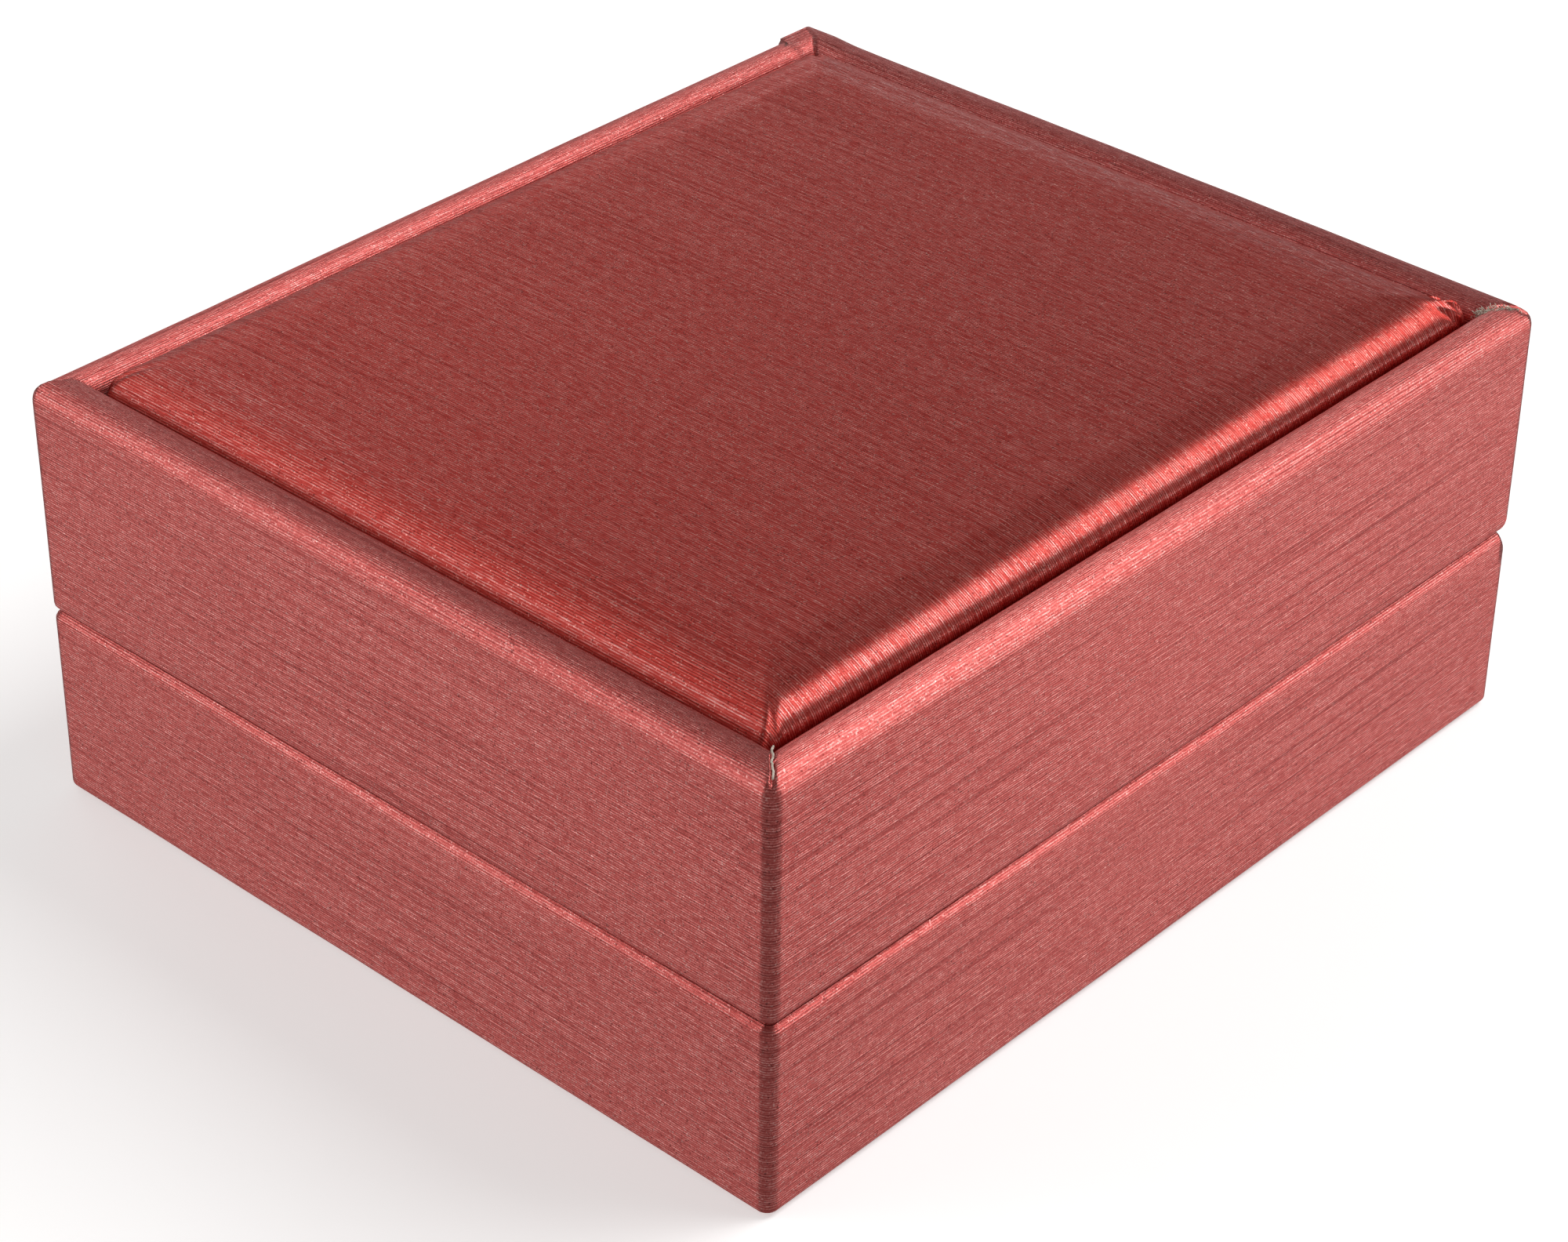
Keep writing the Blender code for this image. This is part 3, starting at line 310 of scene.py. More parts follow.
LEATHERETTE = leatherette_material("copper_leatherette", (0.31, 0.035, 0.033), (0.84, 0.198, 0.178),
                                   (1.0, 0.62, 0.57))
# The pad's copy of the same foil has deeper, redder colours. They are painted light and shade for how the lamps fall
# on the pad's top, not a different foil.
PAD_LEATHERETTE_PAINTED_LIGHT = leatherette_material("pad_copper_painted_light", (0.40, 0.020, 0.015), (0.80, 0.118, 0.096), (1.0, 0.58, 0.50),
                                       rough=0.50, film=(0.04, 1.35), shine=0.22, gloss=2.0, lines=0.25, speck=0.4)
print("materials:", LEATHERETTE.name, PAD_LEATHERETTE_PAINTED_LIGHT.name)

# %% [markdown]
# The other finishes: raw grey-brown millboard, soft foam, ivory satin with a fine weave, ivory velvet whose
# pile catches light at grazing angles, black flocked paper under the base, plated hinge steel with brush
# marks, bluish spring steel, and the white cotton backing that shows where the wrap is cut. Most of them share
# one grain. It reads Object coordinates in metres, so one scaling node makes millimetres of them.

# %% Grain and what uses it
def object_mm(tree):
    coordinates = node(tree, "ShaderNodeTexCoord").outputs["Object"]
    return stretched(tree, coordinates, 1 / MM, 1 / MM, 1 / MM)


def grain_group():
    tree, given, out = new_group("fine_grain", "Tone", "Height", Map=None, Scale=3.0)
    fine = noise_value(tree, given["Map"], given["Scale"], 4.0, 0.6)
    broad = noise_value(tree, given["Map"], calc(tree, 'MULTIPLY', given["Scale"], 0.11))
    tone = weighted(tree, (remap(tree, broad, 0.3, 0.7), 0.4), (remap(tree, fine, 0.3, 0.7), 0.6))
    fill(out, Tone=tone, Height=fine)
    return tree


GRAIN = grain_group()
ROUGHNESS_RANGE = 0.1


def grained(name, dark, light, roughness, scale, depth, stretch=(1, 1, 1), **more):
    """A finish whose tone, roughness and relief all follow one grain, scale in lumps per millimetre."""
    made, tree, shader = new_material(name)
    grain = use_group(tree, GRAIN, Map=stretched(tree, object_mm(tree), *stretch), Scale=scale)
    rough = remap(tree, grain["Height"], 0.25, 0.75, roughness, roughness + ROUGHNESS_RANGE)
    fill(shader, Base_Color=mix_colors(tree, grain["Tone"], dark, light), Roughness=rough,
         Normal=relief(tree, grain["Height"], depth), **more)
    return made


# %% Materials: board, foam, cotton, flock, velvet, steels
BOARD = grained("millboard", (0.30, 0.235, 0.165), (0.47, 0.39, 0.29), 0.82, 2.2, 0.05 * MM)
FOAM = grained("foam", (0.70, 0.67, 0.58), (0.86, 0.84, 0.77), 0.9, 3.0, 0.12 * MM)
COTTON = grained("cotton_backing", (0.50, 0.44, 0.37), (0.86, 0.81, 0.73), 0.85, 5.0, 0.06 * MM)
FRAYED = grained("frayed_cotton", (0.30, 0.235, 0.175), (0.97, 0.88, 0.76), 0.9, 1.6, 0.02 * MM)
FLOCK = grained("black_flock", (0.010, 0.010, 0.012), (0.045, 0.045, 0.05), 0.9, 7.0, 0.08 * MM,
                Sheen_Weight=0.35, Sheen_Roughness=0.4)
VELVET = grained("ivory_velvet", (0.70, 0.62, 0.49), (0.95, 0.89, 0.78), 0.86, 6.5, 0.10 * MM,
                 Sheen_Weight=0.8, Sheen_Roughness=0.35, Sheen_Tint=(1.0, 0.95, 0.86, 1.0))
PLATED = grained("plated_steel", (0.60, 0.50, 0.31), (0.80, 0.71, 0.50), 0.24, 6.0, 0.006 * MM, (0.12, 1, 1),
                 Metallic=1.0)
SPRING = grained("spring_steel", (0.30, 0.32, 0.36), (0.50, 0.52, 0.56), 0.26, 5.0, 0.006 * MM, (1, 1, 0.1),
                 Metallic=1.0)
print("grained finishes:", [m.name for m in (BOARD, FOAM, COTTON, FRAYED, FLOCK, VELVET, PLATED, SPRING)])

# %% Material: satin
WEAVE_TURNS = {"X": 10.0, "Y": 31.416}


def satin_material():
    """Its weave is two waves that cross, in radians to the millimetre, and its tone runs in slubs along X."""
    made, tree, shader = new_material("ivory_satin")
    place = object_mm(tree)
    along, across = [calc(tree, 'SINE', calc(tree, 'MULTIPLY', axes(tree, place)[axis], turns))
                     for axis, turns in WEAVE_TURNS.items()]
    slub = noise_value(tree, stretched(tree, place, 0.25, 3.0, 3.0))
    soft = noise_value(tree, stretched(tree, place, 0.04, 0.05, 0.05), detail=3.0)
    tone = weighted(tree, (soft, 0.55), (remap(tree, slub, 0.3, 0.7), 0.45))
    fill(shader, Base_Color=mix_colors(tree, tone, (0.78, 0.70, 0.55), (0.96, 0.91, 0.80)),
         Roughness=remap(tree, soft, 0.3, 0.7, 0.28, 0.38), Specular_IOR_Level=0.65, Sheen_Weight=0.25,
         Normal=relief(tree, weighted(tree, (across, 0.5), (along, 0.25)), 0.012 * MM))
    return made


SATIN = satin_material()
print("cloth:", SATIN.name)

# %% [markdown]
# The floor is a plain pale table top, wide enough to fill every view. It isn't part of the box.

# %% Floor
TABLE_REACH, TABLE_GLOW = 4.0, 0.46

table_finish, tree, shader = new_material("pale_table")
tone = noise_value(tree, object_mm(tree), 0.02)
fill(shader, Base_Color=mix_colors(tree, tone, (0.86, 0.86, 0.855), (0.90, 0.90, 0.895)), Roughness=0.75,
     Emission_Color=(1.0, 0.995, 0.99, 1.0), Emission_Strength=TABLE_GLOW)
table_mesh = bpy.data.meshes.new("table")
corners = [(x * TABLE_REACH, y * TABLE_REACH, 0) for x, y in ((-1, -1), (1, -1), (1, 1), (-1, 1))]
table_mesh.from_pydata(corners, [], [(0, 1, 2, 3)])
table_mesh.materials.append(table_finish)
table = place_object("table", table_mesh)
table.visible_glossy = False
print("floor made")

# %% [markdown]
# Both wraps are long closed bands: one outline, followed round the box, with rings that step in and out and
# up and down its walls. A ring is a rounded rectangle, given as points with the direction that each faces.
# It starts at the back left corner, where the real sheet has its seam, and its points stand close together
# near the corners, because the cut and folded ends need them there.

# %% Rings round the box
lid_low, lid_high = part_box("lid_wrap")
base_low, base_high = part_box("base_wrap")
HALF_W, HALF_D, RIM_TOP = lid_high.x, lid_high.y, lid_high.z
SIDE_RIM, FRONT_RIM, BACK_RIM = 3.8 * MM, 4.2 * MM, 4.2 * MM
CORNER_RADIUS, SMALLEST_CORNER, INNER_CORNER = 1.2 * MM, 0.2 * MM, 0.6 * MM
CORNER_STEPS = 8
WALL_SPACING = 3.2 * MM
END_STEPS = [0.2, 0.45, 0.8, 1.3, 1.9, 2.5, 2.8, 3.1, 3.5, 4.1, 4.6, 4.9, 5.3, 6.2, 7.6, 9.6]


def side_shares(length, spacing, close=()):
    """Where points stand on a side, as shares of it: evenly, and at the distances of close, in mm, from each end."""
    ends = [step * MM / length for step in close] or [0.0]
    count = round((1 - 2 * ends[-1]) * length / spacing)
    middle = list(np.linspace(ends[-1], 1 - ends[-1], count + 1)[1:-1])
    return ends + middle + [1 - s for s in reversed(ends)] if close else middle


SHARES_X = side_shares(2 * (HALF_W - CORNER_RADIUS), WALL_SPACING, END_STEPS)
SHARES_Y = side_shares(2 * (HALF_D - CORNER_RADIUS), WALL_SPACING, END_STEPS)


def ring(half_x, front, back, z, radius, shares_x=SHARES_X, shares_y=SHARES_Y, steps=CORNER_STEPS):
    """Points and facing directions of a rounded rectangle, counter-clockwise from the back left corner."""
    corners = [(radius - half_x, back - radius, 90), (radius - half_x, front + radius, 180),
               (half_x - radius, front + radius, 270), (half_x - radius, back - radius, 0)]
    points, facing = [], []
    for i, (cx, cy, start) in enumerate(corners):
        angles = [math.radians(start + 90 * k / steps) for k in range(steps + 1)]
        facing += [(math.cos(a), math.sin(a)) for a in angles]
        points += [(cx + radius * math.cos(a), cy + radius * math.sin(a)) for a in angles]
        nx, ny, turn = corners[(i + 1) % 4]
        end = Vector((nx + radius * math.cos(math.radians(turn)), ny + radius * math.sin(math.radians(turn))))
        begin = Vector(points[-1])
        shares = shares_y if i in (0, 2) else shares_x
        points += [tuple(begin.lerp(end, s)) for s in shares]
        facing += [facing[-1]] * len(shares)
    return np.array([(x, y, z) for x, y in points]), np.array(facing)


print("points in a ring:", len(ring(HALF_W, -HALF_D, HALF_D, 0, CORNER_RADIUS)[0]))

# %% [markdown]
# A band of rings becomes a mesh with its own map: U is the way round the box and V the way up its profile,
# both in millimetres, so the ribs keep their true size on walls, edges and rims alike.

# %% Mesh from rings
def outer(inset, z):
    return ring(HALF_W - inset, inset - HALF_D, HALF_D - inset, z, max(CORNER_RADIUS - inset, SMALLEST_CORNER))[0]


def inner(offset, z):
    return ring(HALF_W - SIDE_RIM + offset, FRONT_RIM - offset - HALF_D, HALF_D - BACK_RIM + offset, z,
                INNER_CORNER)[0]


def band_faces(rings, count):
    """The faces between neighbouring rings of count points each."""
    return [(k * count + i, k * count + j, (k + 1) * count + j, (k + 1) * count + i)
            for k in range(rings - 1) for i in range(count) for j in [(i + 1) % count]]


def mapped_mesh(name, verts, faces, values, *materials):
    """A smooth mesh with a map value for each corner of each face."""
    mesh = bpy.data.meshes.new(name)
    mesh.from_pydata(verts.tolist(), [], faces)
    layer = mesh.uv_layers.new(name="cover")
    layer.data.foreach_set("uv", np.asarray(values, np.float32).ravel())
    for material in materials:
        mesh.materials.append(material)
    mesh.shade_smooth()
    return mesh


def run_lengths(points):
    """The way from the first point to each, in millimetres."""
    return np.concatenate([[0.0], np.cumsum(np.linalg.norm(np.diff(points, axis=0), axis=1))]) / MM


MAP_COLUMN = 20  # points past a ring's half: there a wall is flat, and the way up the profile is measured


def band_mesh(name, rings):
    """Skin rings of equal count into a mesh whose map runs round and up the band."""
    count = rings.shape[1]
    round_way = rings[len(rings) // 2]
    u = run_lengths(np.vstack([round_way, round_way[:1]]))
    v = run_lengths(rings[:, count // 2 + MAP_COLUMN])
    values = [(u[i + a], v[k + b]) for k in range(len(rings) - 1) for i in range(count)
              for a, b in ((0, 0), (1, 0), (1, 1), (0, 1))]
    faces = band_faces(len(rings), count)
    return mapped_mesh(name, rings.reshape(-1, 3), faces, values, LEATHERETTE, COTTON)


def give_frame(obj, body, slot, *nodes):
    """Tell the frame which body a finished piece rides on and what it stands for. slot, its material slot, is not
    used.
    """
    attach(obj, body)
    if nodes:
        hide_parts(*nodes)
    print(obj.name, len(obj.data.polygons), "faces, rides on", body)


# %% [markdown]
# A hinge needs room where it crosses the back wall. The real maker cuts the board and the covering with a
# small router. Here a Boolean takes a prism out of the skin, and the result is kept as a plain mesh, so that
# the cutter can be thrown away. The outline is the side view of the room that the hinge turns in.

# %% Helpers: prism, cutting, plain mesh
def prism(name, outline, low, high, material, turn=0.0, place=(0, 0, 0)):
    """A closed prism along X from a counter-clockwise outline of (y, z), turned about Z and put in its place."""
    count, move = len(outline), Matrix.Translation(place) @ Matrix.Rotation(turn, 4, 'Z')
    verts = [move @ Vector((x, y, z)) for x in (low, high) for y, z in outline]
    ends = [tuple(range(count))[::-1], tuple(range(count, 2 * count))]
    mesh = bpy.data.meshes.new(name)
    mesh.from_pydata(verts, [], ends + band_faces(2, count))
    mesh.materials.append(material)
    return place_object(name, mesh)


def keep_as_mesh(obj):
    """Turn the evaluated shape into the object's own plain mesh, and drop the modifiers."""
    graph = bpy.context.evaluated_depsgraph_get()
    mesh = bpy.data.meshes.new_from_object(obj.evaluated_get(graph), depsgraph=graph)
    obj.modifiers.clear()
    obj.data = mesh


def cut_away(obj, cutters):
    for cutter in cutters:
        cut = obj.modifiers.new("cut", 'BOOLEAN')
        cut.operation, cut.solver, cut.object = 'DIFFERENCE', 'EXACT', cutter
        cut.material_mode = 'TRANSFER'
    before = len(obj.data.polygons)
    keep_as_mesh(obj)
    for cutter in cutters:
        bpy.data.objects.remove(cutter)
    print(obj.name, before, "faces before the cuts,", len(obj.data.polygons), "after")


# %% Room for the hinges
HINGE_X, HINGE_ROOM = 25.0 * MM, 6.8 * MM
JOINT_HEIGHT = (lid_low.z + base_high.z) / 2
PIVOT_INSET = 1.4 * MM
PIVOT_Y = HALF_D - PIVOT_INSET
LEAF_FRONT, LEAF_BACK, LEAF_REACH = 47.35 * MM, 48.65 * MM, 6.0 * MM
KNUCKLE_BACK, KNUCKLE_BELOW, KNUCKLE_ABOVE = 53.6 * MM, -2.0 * MM, 1.5 * MM


def cut_hinge_rooms(obj):
    """Cut a slot for the leaves with a wider room behind it for the knuckles, heights told from the joint."""
    outline = [(KNUCKLE_BACK, KNUCKLE_BELOW), (KNUCKLE_BACK, KNUCKLE_ABOVE), (LEAF_BACK, KNUCKLE_ABOVE),
               (LEAF_BACK, LEAF_REACH), (LEAF_FRONT, LEAF_REACH), (LEAF_FRONT, -LEAF_REACH),
               (LEAF_BACK, -LEAF_REACH), (LEAF_BACK, KNUCKLE_BELOW)]
    outline = [(y, JOINT_HEIGHT + z) for y, z in outline]
    cut_away(obj, [prism("hinge_room", outline, x - HINGE_ROOM, x + HINGE_ROOM, COTTON) for x in (-HINGE_X, HINGE_X)])


# %% [markdown]
# The lid wrap starts inside, turns under the wall's lower edge, climbs the wall and rolls over the rim into
# the recess. Seen from the photograph it isn't perfect: at the back left the sheet is folded over the board's
# square end and stands out, the left rim sits a little low behind the front one, and at two corners the
# mitres gape. These are moves of the rings' points, made where the real hands made them.

# %% Lid wrap: profile
WRAP = 0.5 * MM
LID_BOTTOM = lid_low.z
LID_BEVEL_RISE = 0.7 * MM
RIM_OUTER, RIM_INNER, LID_EDGE = 2.0 * MM, 1.6 * MM, 0.6 * MM
LID_TURN_IN = (5.0, 3.5, 2.0, 1.2)
WALL_FOOT, UNDER_RIM, UNDER_INNER_RIM, LID_WALL_RINGS = 1.6 * MM, 1.2 * MM, 1.0 * MM, 11
RECESS_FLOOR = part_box("pad_cover")[0].z


def quarter(radius, steps):
    """(inset, drop) pairs round a quarter circle, from flat on top to upright."""
    angles = [math.radians(90 * i / steps) for i in range(steps + 1)]
    return [(radius * (1 - math.sin(a)), radius * (1 - math.cos(a))) for a in angles]


def smooth_step(value, low, high):
    share = np.clip((value - low) / (high - low), 0.0, 1.0)
    return share * share * (3 - 2 * share)


def bevelled(points, rise):
    """Lift or drop a ring's points behind the hinge line, for the V groove at the back."""
    points[:, 2] += np.clip(points[:, 1] - PIVOT_Y, 0, None) * rise / PIVOT_INSET
    return points


SQUARE_END_START, SQUARE_END_RADIUS, SQUARE_END_REACH = 46.1 * MM, 0.5 * MM, 0.19 * MM


def square_end(points, inset, drop):
    """At the back left corner the wrap is folded over the board's square end, so its rounding is small there."""
    reach = max(SQUARE_END_RADIUS - drop, 0.0)
    small = SQUARE_END_RADIUS - math.sqrt(SQUARE_END_RADIUS ** 2 - reach ** 2)
    near = points[:, 0] < -HALF_W + inset + SQUARE_END_REACH
    share = smooth_step(points[:, 1], SQUARE_END_START, SQUARE_END_START + SQUARE_END_RADIUS)
    points[:, 0] -= np.where(near, (inset - small) * share, 0.0)
    return points


lid_rings = [inner(0.0, LID_BOTTOM + h * MM) for h in LID_TURN_IN]
lid_rings += [inner(i, LID_BOTTOM + d) for i, d in reversed(quarter(LID_EDGE, 4))]
lid_rings.append(outer(PIVOT_INSET, LID_BOTTOM))
lid_rings += [bevelled(outer(i, LID_BOTTOM + d), LID_BEVEL_RISE) for i, d in quarter(LID_EDGE, 4)]
wall = np.linspace(LID_BOTTOM + WALL_FOOT, RIM_TOP - RIM_OUTER - UNDER_RIM, LID_WALL_RINGS)
lid_rings += [outer(0.0, z) for z in wall]
lid_rings += [square_end(outer(i, RIM_TOP - d), i, d) for i, d in reversed(quarter(RIM_OUTER, 10))]
lid_rings += [inner(i, RIM_TOP - d) for i, d in quarter(RIM_INNER, 8)]
lid_rings += [inner(0.0, z) for z in (RIM_TOP - RIM_INNER - UNDER_INNER_RIM, RECESS_FLOOR)]
print("lid wrap rings:", len(lid_rings))

# %% Lid wrap: mitres, sag and waver
LEFT_RIM_SAG, LEFT_RIM_RISE, BACK_RIM_SAG = 0.24 * MM, 0.08 * MM, 0.2 * MM
LEFT_SAG_ENDS, LEFT_RISE_STARTS = (-46 * MM, -8 * MM), (0.0, 20 * MM)  # each from where to where in y
BACK_SAG_STARTS, BACK_SAG_ENDS = (-42 * MM, -38 * MM), (-36 * MM, 10 * MM)  # and these in x
RIM_STARTS, MITRE_STARTS = (RIM_TOP - 2.4 * MM, RIM_TOP - 1.0 * MM), (RIM_TOP - 1.1 * MM, RIM_TOP - 0.5 * MM)
MITRES = [(1, -1, 0.16, 0.34), (1, 1, 0.34, 0.42), (-1, -1, 0.10, 0.16)]
MITRE_LENGTH, RIM_REACH = 6.5 * MM, 1.2 * MM
WAVER_HEIGHT, WALL_SKIN, LID_WAVER, BASE_WAVER = 0.05 * MM, 0.3 * MM, 14 * MM, 13 * MM


def mitre_distance(x, y, side_x, side_y):
    """Signed distance from the line that joins a rim corner's inner and outer points."""
    rim = FRONT_RIM if side_y < 0 else BACK_RIM
    way = np.array([-side_x * SIDE_RIM, -side_y * rim])
    way = way / np.linalg.norm(way)
    dx, dy = x - side_x * HALF_W, y - side_y * HALF_D
    along = dx * way[0] + dy * way[1]
    return dx * way[1] - dy * way[0], along


def shape_lid_wrap(verts):
    """Sink the left and the back rim a little, and open the mitres, each (side, side, half width, depth) in mm."""
    x, y, z = verts.T.copy()
    on_rim = smooth_step(z, *RIM_STARTS)
    left = (y + HALF_D) * SIDE_RIM - (x + HALF_W) * FRONT_RIM > 0
    is_left = left & (x < -HALF_W + SIDE_RIM + RIM_REACH)
    sag = LEFT_RIM_SAG * (1 - smooth_step(y, *LEFT_SAG_ENDS)) - LEFT_RIM_RISE * smooth_step(y, *LEFT_RISE_STARTS)
    verts[:, 2] -= np.where(is_left & (y < SQUARE_END_START), sag * on_rim, 0.0)
    back = (y > HALF_D - BACK_RIM - RIM_REACH) & (np.abs(x) < HALF_W - SIDE_RIM)
    sag = BACK_RIM_SAG * (1 - smooth_step(x, *BACK_SAG_ENDS)) * smooth_step(x, *BACK_SAG_STARTS)
    verts[:, 2] -= np.where(back, sag * on_rim, 0.0)
    for side_x, side_y, half_width, depth in MITRES:
        across, along = mitre_distance(x, y, side_x, side_y)
        ragged = 1 + 0.35 * np.sin(along / MM * 5.1) + 0.2 * np.sin(along / MM * 11.7 + 1)
        groove = np.exp(-(across / (half_width * ragged * MM)) ** 2)
        reach = smooth_step(z, *MITRE_STARTS) * (along > 0) * (along < MITRE_LENGTH)
        verts[:, 2] -= depth * MM * groove * reach


def waver(verts, size):
    """Small soft unevenness, as hand-laid covering has, sideways on walls and upright on rims."""
    for point in verts:
        at = Vector(point) / size
        point[0] += WAVER_HEIGHT * noise.noise(at) * (abs(point[0]) > HALF_W - WALL_SKIN)
        point[1] += WAVER_HEIGHT * noise.noise(at + Vector((7, 3, 1))) * (abs(point[1]) > HALF_D - WALL_SKIN)
        point[2] += WAVER_HEIGHT * noise.noise(at * 1.6 + Vector((2, 9, 4))) * (point[2] > RIM_TOP - 0.8 * MM)


def finish_band(body, rings, waver_size, shape=None):
    """Shape the rings, skin them, give the skin its thickness and its hinge rooms, and hand it to its body."""
    rings = np.array(rings)
    verts = rings.reshape(-1, 3)
    if shape:
        shape(verts)
    waver(verts, waver_size)
    name = body + "_leatherette"
    obj = place_object(name, band_mesh(name, rings))
    solid = obj.modifiers.new("thickness", 'SOLIDIFY')
    solid.thickness, solid.offset = WRAP, -1.0
    solid.material_offset = solid.material_offset_rim = 1
    keep_as_mesh(obj)
    cut_hinge_rooms(obj)
    give_frame(obj, body, "leatherette", body + "_wrap")


finish_band("lid", lid_rings, LID_WAVER, shape_lid_wrap)

# %% [markdown]
# The base wrap turns under the bottom, climbs the wall, rolls over its rounded top edge and turns in. Its
# back edge is cut back further, which with the lid's bevel makes the V groove that lets the lid stand open.

# %% Base wrap
BASE_TOP = base_high.z
BASE_BEVEL_DROP = 2.1 * MM
BASE_EDGE, BASE_INNER_EDGE, FOOT_EDGE = 1.0 * MM, 0.6 * MM, 0.6 * MM
UNDER_EDGE, BASE_WALL_RINGS = 3.6 * MM, 9
TURN_UNDER, TURN_IN = (6.0, 4.0, 2.0), (2.0, 3.5, 5.0)

base_rings = [outer(i * MM, base_low.z) for i in TURN_UNDER]
base_rings += [outer(i, base_low.z + d) for i, d in quarter(FOOT_EDGE, 5)]
base_rings += [outer(0.0, z) for z in np.linspace(base_low.z + WALL_FOOT, BASE_TOP - UNDER_EDGE, BASE_WALL_RINGS)]
base_rings += [bevelled(outer(i, BASE_TOP - d), -BASE_BEVEL_DROP) for i, d in reversed(quarter(BASE_EDGE, 7))]
base_rings.append(outer(PIVOT_INSET, BASE_TOP))
base_rings += [inner(i, BASE_TOP - d) for i, d in quarter(BASE_INNER_EDGE, 4)]
base_rings += [inner(0.0, BASE_TOP - h * MM) for h in TURN_IN]
finish_band("base", base_rings, BASE_WAVER)

# %% [markdown]
# Three pieces are covered foam: the top pad, the satin ceiling and the velvet insert. Each cover is built as
# the flat sheet that it was: a grid on top, carried on by rings that roll over the edge and down the sides.
# The flat sheet's own coordinates are its map, so ribs stay straight over the edge and gather at corners.

# %% Padded covers: mesh
COVER_STEPS, SIDE_RINGS, ROLL_RINGS, HELD_RINGS = 6, 4, 10, 3
COVER_RADIUS, CORNER_NARROWS, SMALLEST_SHARE = 1.6 * MM, 0.55, 0.45


def inside_grid(edge, count_x, count_y, steps):
    """Fill a ring with a grid by blending its four sides. Gives the ring's own numbers where it has them."""
    total, half = len(edge), steps // 2
    starts = np.cumsum([half, count_y + steps, count_x + steps, count_y + steps])
    spans = (count_y, count_x, count_y, count_x)
    left, front, right, back = [[(s + k) % total for k in range(n + steps + 1)] for s, n in zip(starts, spans)]
    left, back = left[::-1], back[::-1]
    rows, cols = count_y + steps, count_x + steps
    t, s = np.meshgrid(np.linspace(0, 1, rows + 1), np.linspace(0, 1, cols + 1), indexing="ij")
    t, s = t[..., None], s[..., None]
    f, b, l, r = edge[front][None], edge[back][None], edge[left][:, None], edge[right][:, None]
    table = ((1 - t) * f + t * b + (1 - s) * l + s * r - (1 - s) * (1 - t) * f[:, :1] - s * (1 - t) * f[:, -1:]
             - (1 - s) * t * b[:, :1] - s * t * b[:, -1:])
    numbers = np.full((rows + 1, cols + 1), -1)
    numbers[0], numbers[-1], numbers[:, 0], numbers[:, -1] = front, back, left, right
    return table, numbers


def cover_mesh(name, over, material, side, top, roll, spacing, crown, upside=1, hem=(), close=()):
    """A padded cover as large as the CAD piece over. Gives the mesh, and how many first points are to be held."""
    low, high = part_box(over)
    half_x, front, back, foot = high.x, low.y, high.y, low.z if upside > 0 else high.z
    shares_x = side_shares(2 * (half_x - COVER_RADIUS), spacing, close)
    shares_y = side_shares(back - front - 2 * COVER_RADIUS, spacing, close)
    profile = list(hem) + [(0.0, z) for z in np.linspace(foot, side, SIDE_RINGS)]
    profile += [(roll * (1 - math.cos(a)), side + (top - side) * math.sin(a))
                for a in np.radians(np.linspace(0, 90, ROLL_RINGS + 1)[1:])]
    arcs = run_lengths(profile) * MM
    rings, flat = [], []
    for (inset, z), arc in zip(profile, arcs):
        corner = max(COVER_RADIUS - CORNER_NARROWS * inset, SMALLEST_SHARE * COVER_RADIUS)
        points, facing = ring(half_x - inset, front + inset, back - inset, z, corner, shares_x, shares_y, COVER_STEPS)
        rings.append(points)
        flat += list(points[:, :2] + facing * (arcs[-1] - arc - roll + inset))
    table, numbers = inside_grid(rings[-1], len(shares_x) + 1, len(shares_y) + 1, COVER_STEPS)
    count = len(rings[0])
    verts = list(np.concatenate(rings))
    last = (len(rings) - 1) * count
    for r, c in np.ndindex(numbers.shape):
        if numbers[r, c] >= 0:
            numbers[r, c] += last
        else:
            numbers[r, c] = len(verts)
            verts.append(table[r, c])
            flat.append(table[r, c, :2])
    verts, flat = np.array(verts), np.array(flat)
    middle = (front + back) / 2
    share = np.clip((1 - (verts[:, 0] / half_x) ** 2) * (1 - ((verts[:, 1] - middle) / (back - middle)) ** 2), 0, 1)
    verts[:, 2] += crown * share * np.clip((verts[:, 2] - side) / (top - side), 0, 1) ** 2 * upside
    faces = band_faces(len(rings), count)
    faces += [(numbers[r, c], numbers[r, c + 1], numbers[r + 1, c + 1], numbers[r + 1, c])
              for r, c in np.ndindex(numbers.shape[0] - 1, numbers.shape[1] - 1)]
    faces.append(tuple(range(count))[::-1])
    faces = [[int(v) for v in face][::upside] for face in faces]
    mesh = mapped_mesh(name, verts, faces, flat[np.concatenate(faces)] / MM, material)
    return mesh, (HELD_RINGS + len(hem)) * count


print("cover helper ready")

# %% [markdown]
# Cloth simulation gives each cover the fullness of cloth drawn over foam. Its foot is held, air pressure
# inside stands for the foam, and twenty frames are enough. No point may move further than a cap, so that the
# pad keeps the size that its foam gives it, and the moves are evened out, since foam this firm has few creases.

# %% Padded covers: cloth
CLOTH_FRAMES, CLOTH_MASS, FOAM_PRESSURE = 20, 0.02, 4.0


def rows_of(items, field="co"):
    """The coordinates of a mesh's vertices, or the vectors of its normals, as rows."""
    rows = np.empty(3 * len(items))
    items.foreach_get(field, rows)
    return rows.reshape(-1, 3)


def put_back(mesh, rows):
    mesh.vertices.foreach_set("co", rows.ravel())
    mesh.update()


def evened(move, mesh, rounds):
    """Average each point's move with its neighbours', so that only the soft swelling is left of it."""
    ends = np.empty(2 * len(mesh.edges), np.int32)
    mesh.edges.foreach_get("vertices", ends)
    first, second = ends.reshape(-1, 2).T
    degree = np.bincount(ends, minlength=len(move))[:, None]
    for _ in range(rounds):
        total = np.zeros_like(move)
        np.add.at(total, first, move[second])
        np.add.at(total, second, move[first])
        move = (move + total / np.maximum(degree, 1)) / 2
    return move


